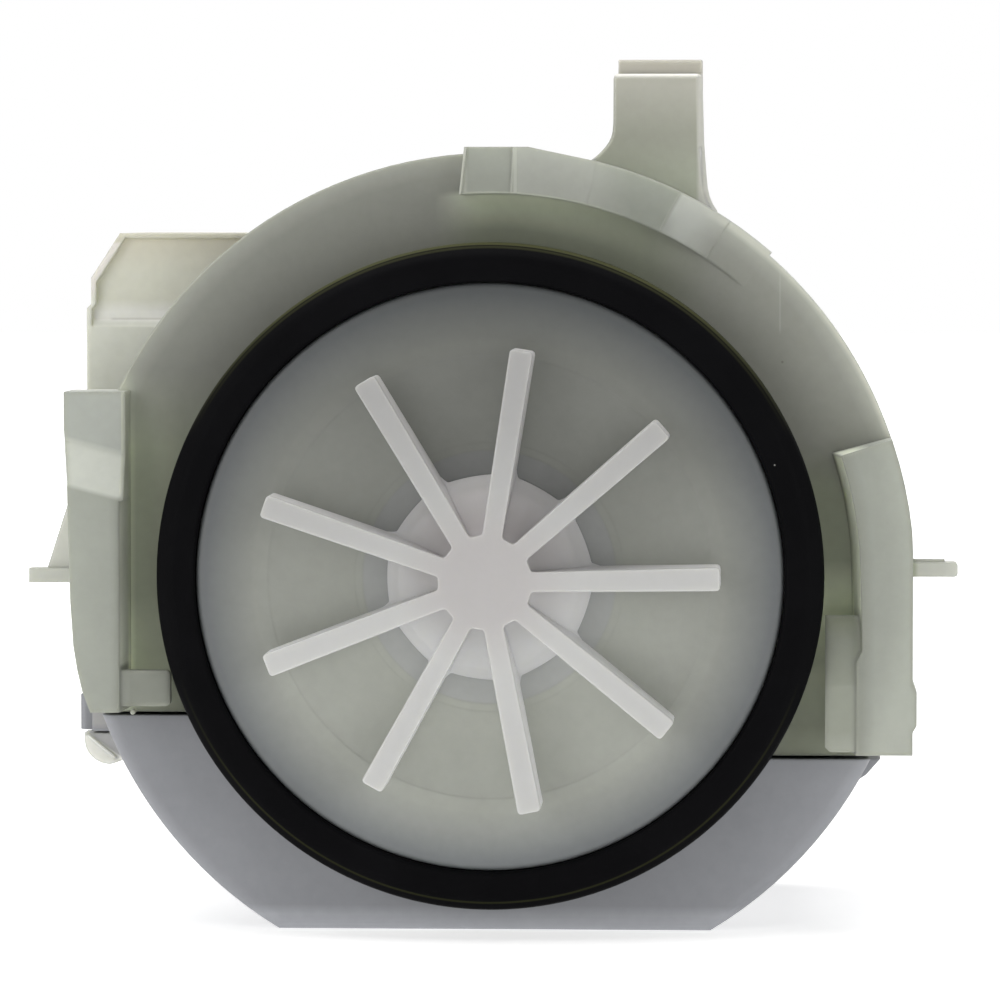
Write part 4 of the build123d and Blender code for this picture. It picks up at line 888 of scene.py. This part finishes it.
def make_floor():
    """Pale floor that shines white to the camera away from the pump and keeps its shadow."""
    bm = bmesh.new()
    corners = [(-FLOOR_HALF, -FLOOR_HALF), (FLOOR_HALF, -FLOOR_HALF), (FLOOR_HALF, FLOOR_HALF),
               (-FLOOR_HALF, FLOOR_HALF)]
    bm.faces.new([bm.verts.new((x * MM, y * MM, FLOOR_Z * MM)) for x, y in corners])
    mesh = bpy.data.meshes.new("floor")
    bm.to_mesh(mesh)
    bm.free()
    floor = add_object("floor", mesh)
    material, tree = nodes_of("floor_mat")
    g = Graph(tree)
    diffuse = g.add("ShaderNodeBsdfDiffuse")
    g.feed(diffuse.inputs["Color"], (0.8, 0.8, 0.8))
    glow = g.add("ShaderNodeEmission")
    g.feed(glow.inputs["Color"], (1.0, 1.0, 1.0))
    path = g.add("ShaderNodeLightPath")
    seen = g.largest(path.outputs["Is Camera Ray"], path.outputs["Is Glossy Ray"],
                     path.outputs["Is Transmission Ray"])
    far = g.add("ShaderNodeVectorMath", operation="LENGTH")
    g.link(g.place(), far.inputs[0])
    shown = g.span(far.outputs["Value"], 0.12, 0.5, 0.62, 1.0)
    g.link(g.sum(g.product(seen, shown), g.span(seen, 0.0, 1.0, 0.6, 0.0)), glow.inputs["Strength"])
    both = g.add("ShaderNodeAddShader")
    g.link(diffuse.outputs[0], both.inputs[0])
    g.link(glow.outputs[0], both.inputs[1])
    out = g.add("ShaderNodeOutputMaterial")
    g.link(both.outputs[0], out.inputs["Surface"])
    mesh.materials.append(material)


def make_world():
    """White to the camera; softer for the light it sheds, and dimmer in front for reflections."""
    world = bpy.data.worlds.new("studio")
    bpy.context.scene.world = world
    world.use_nodes = True
    world.node_tree.nodes.clear()
    g = Graph(world.node_tree)
    path = g.add("ShaderNodeLightPath")
    glossy = path.outputs["Is Glossy Ray"]
    split = g.add("ShaderNodeSeparateXYZ")
    g.link(g.add("ShaderNodeTexCoord").outputs["Generated"], split.inputs[0])
    mirrored = g.span(split.outputs[1], -0.9, -0.3, 0.3, 1.0)
    level = g.sum(g.span(glossy, 0.0, 1.0, 0.22, 0.0), g.product(mirrored, glossy))
    back = g.add("ShaderNodeBackground")
    g.feed(back.inputs["Color"], (1.0, 1.0, 1.0))
    g.link(g.largest(level, path.outputs["Is Camera Ray"], path.outputs["Is Transmission Ray"]),
           back.inputs["Strength"])
    out = g.add("ShaderNodeOutputWorld")
    g.link(back.outputs[0], out.inputs["Surface"])


def make_lamp(name, spot, size, power):
    """Square lamp that points at the pump."""
    data = bpy.data.lights.new(name, "AREA")
    data.shape = "SQUARE"
    data.size = size
    data.energy = power
    lamp = add_object(name, data)
    lamp.location = spot
    lamp.rotation_euler = Vector(spot).to_track_quat("Z", "Y").to_euler()


def make_camera():
    data = bpy.data.cameras.new("camera")
    data.lens = CAMERA_LENS
    data.sensor_width = CAMERA_SENSOR
    data.clip_start = 0.01
    data.clip_end = 20.0
    camera = add_object("camera", data)
    azimuth, elevation = math.radians(CAMERA_AZIMUTH), math.radians(CAMERA_ELEVATION)
    back = Vector((math.sin(azimuth) * math.cos(elevation), -math.cos(azimuth) * math.cos(elevation),
                   math.sin(elevation)))
    camera.location = Vector(CAMERA_TARGET) * MM + back * (CAMERA_DISTANCE * MM)
    camera.rotation_euler = back.to_track_quat("Z", "Y").to_euler()
    bpy.context.scene.camera = camera


make_camera()
make_world()
make_floor()
for lamp_row in LAMPS:
    make_lamp(*lamp_row)

for row in frame["record"]["subparts"]:
    dressed = frame["nodes"][row["node"]]
    dressed.data.materials.clear()
    dressed.data.materials.append(MATERIALS[OWN_LOOK.get(row["node"], row["material_slot"])])

for node_name, edge_width in SOFT_NODES.items():
    soften(node_name, edge_width)

make_seal()
make_pip()
make_face()
make_impeller()
make_lever()

bpy.context.scene.view_settings.view_transform = "Standard"
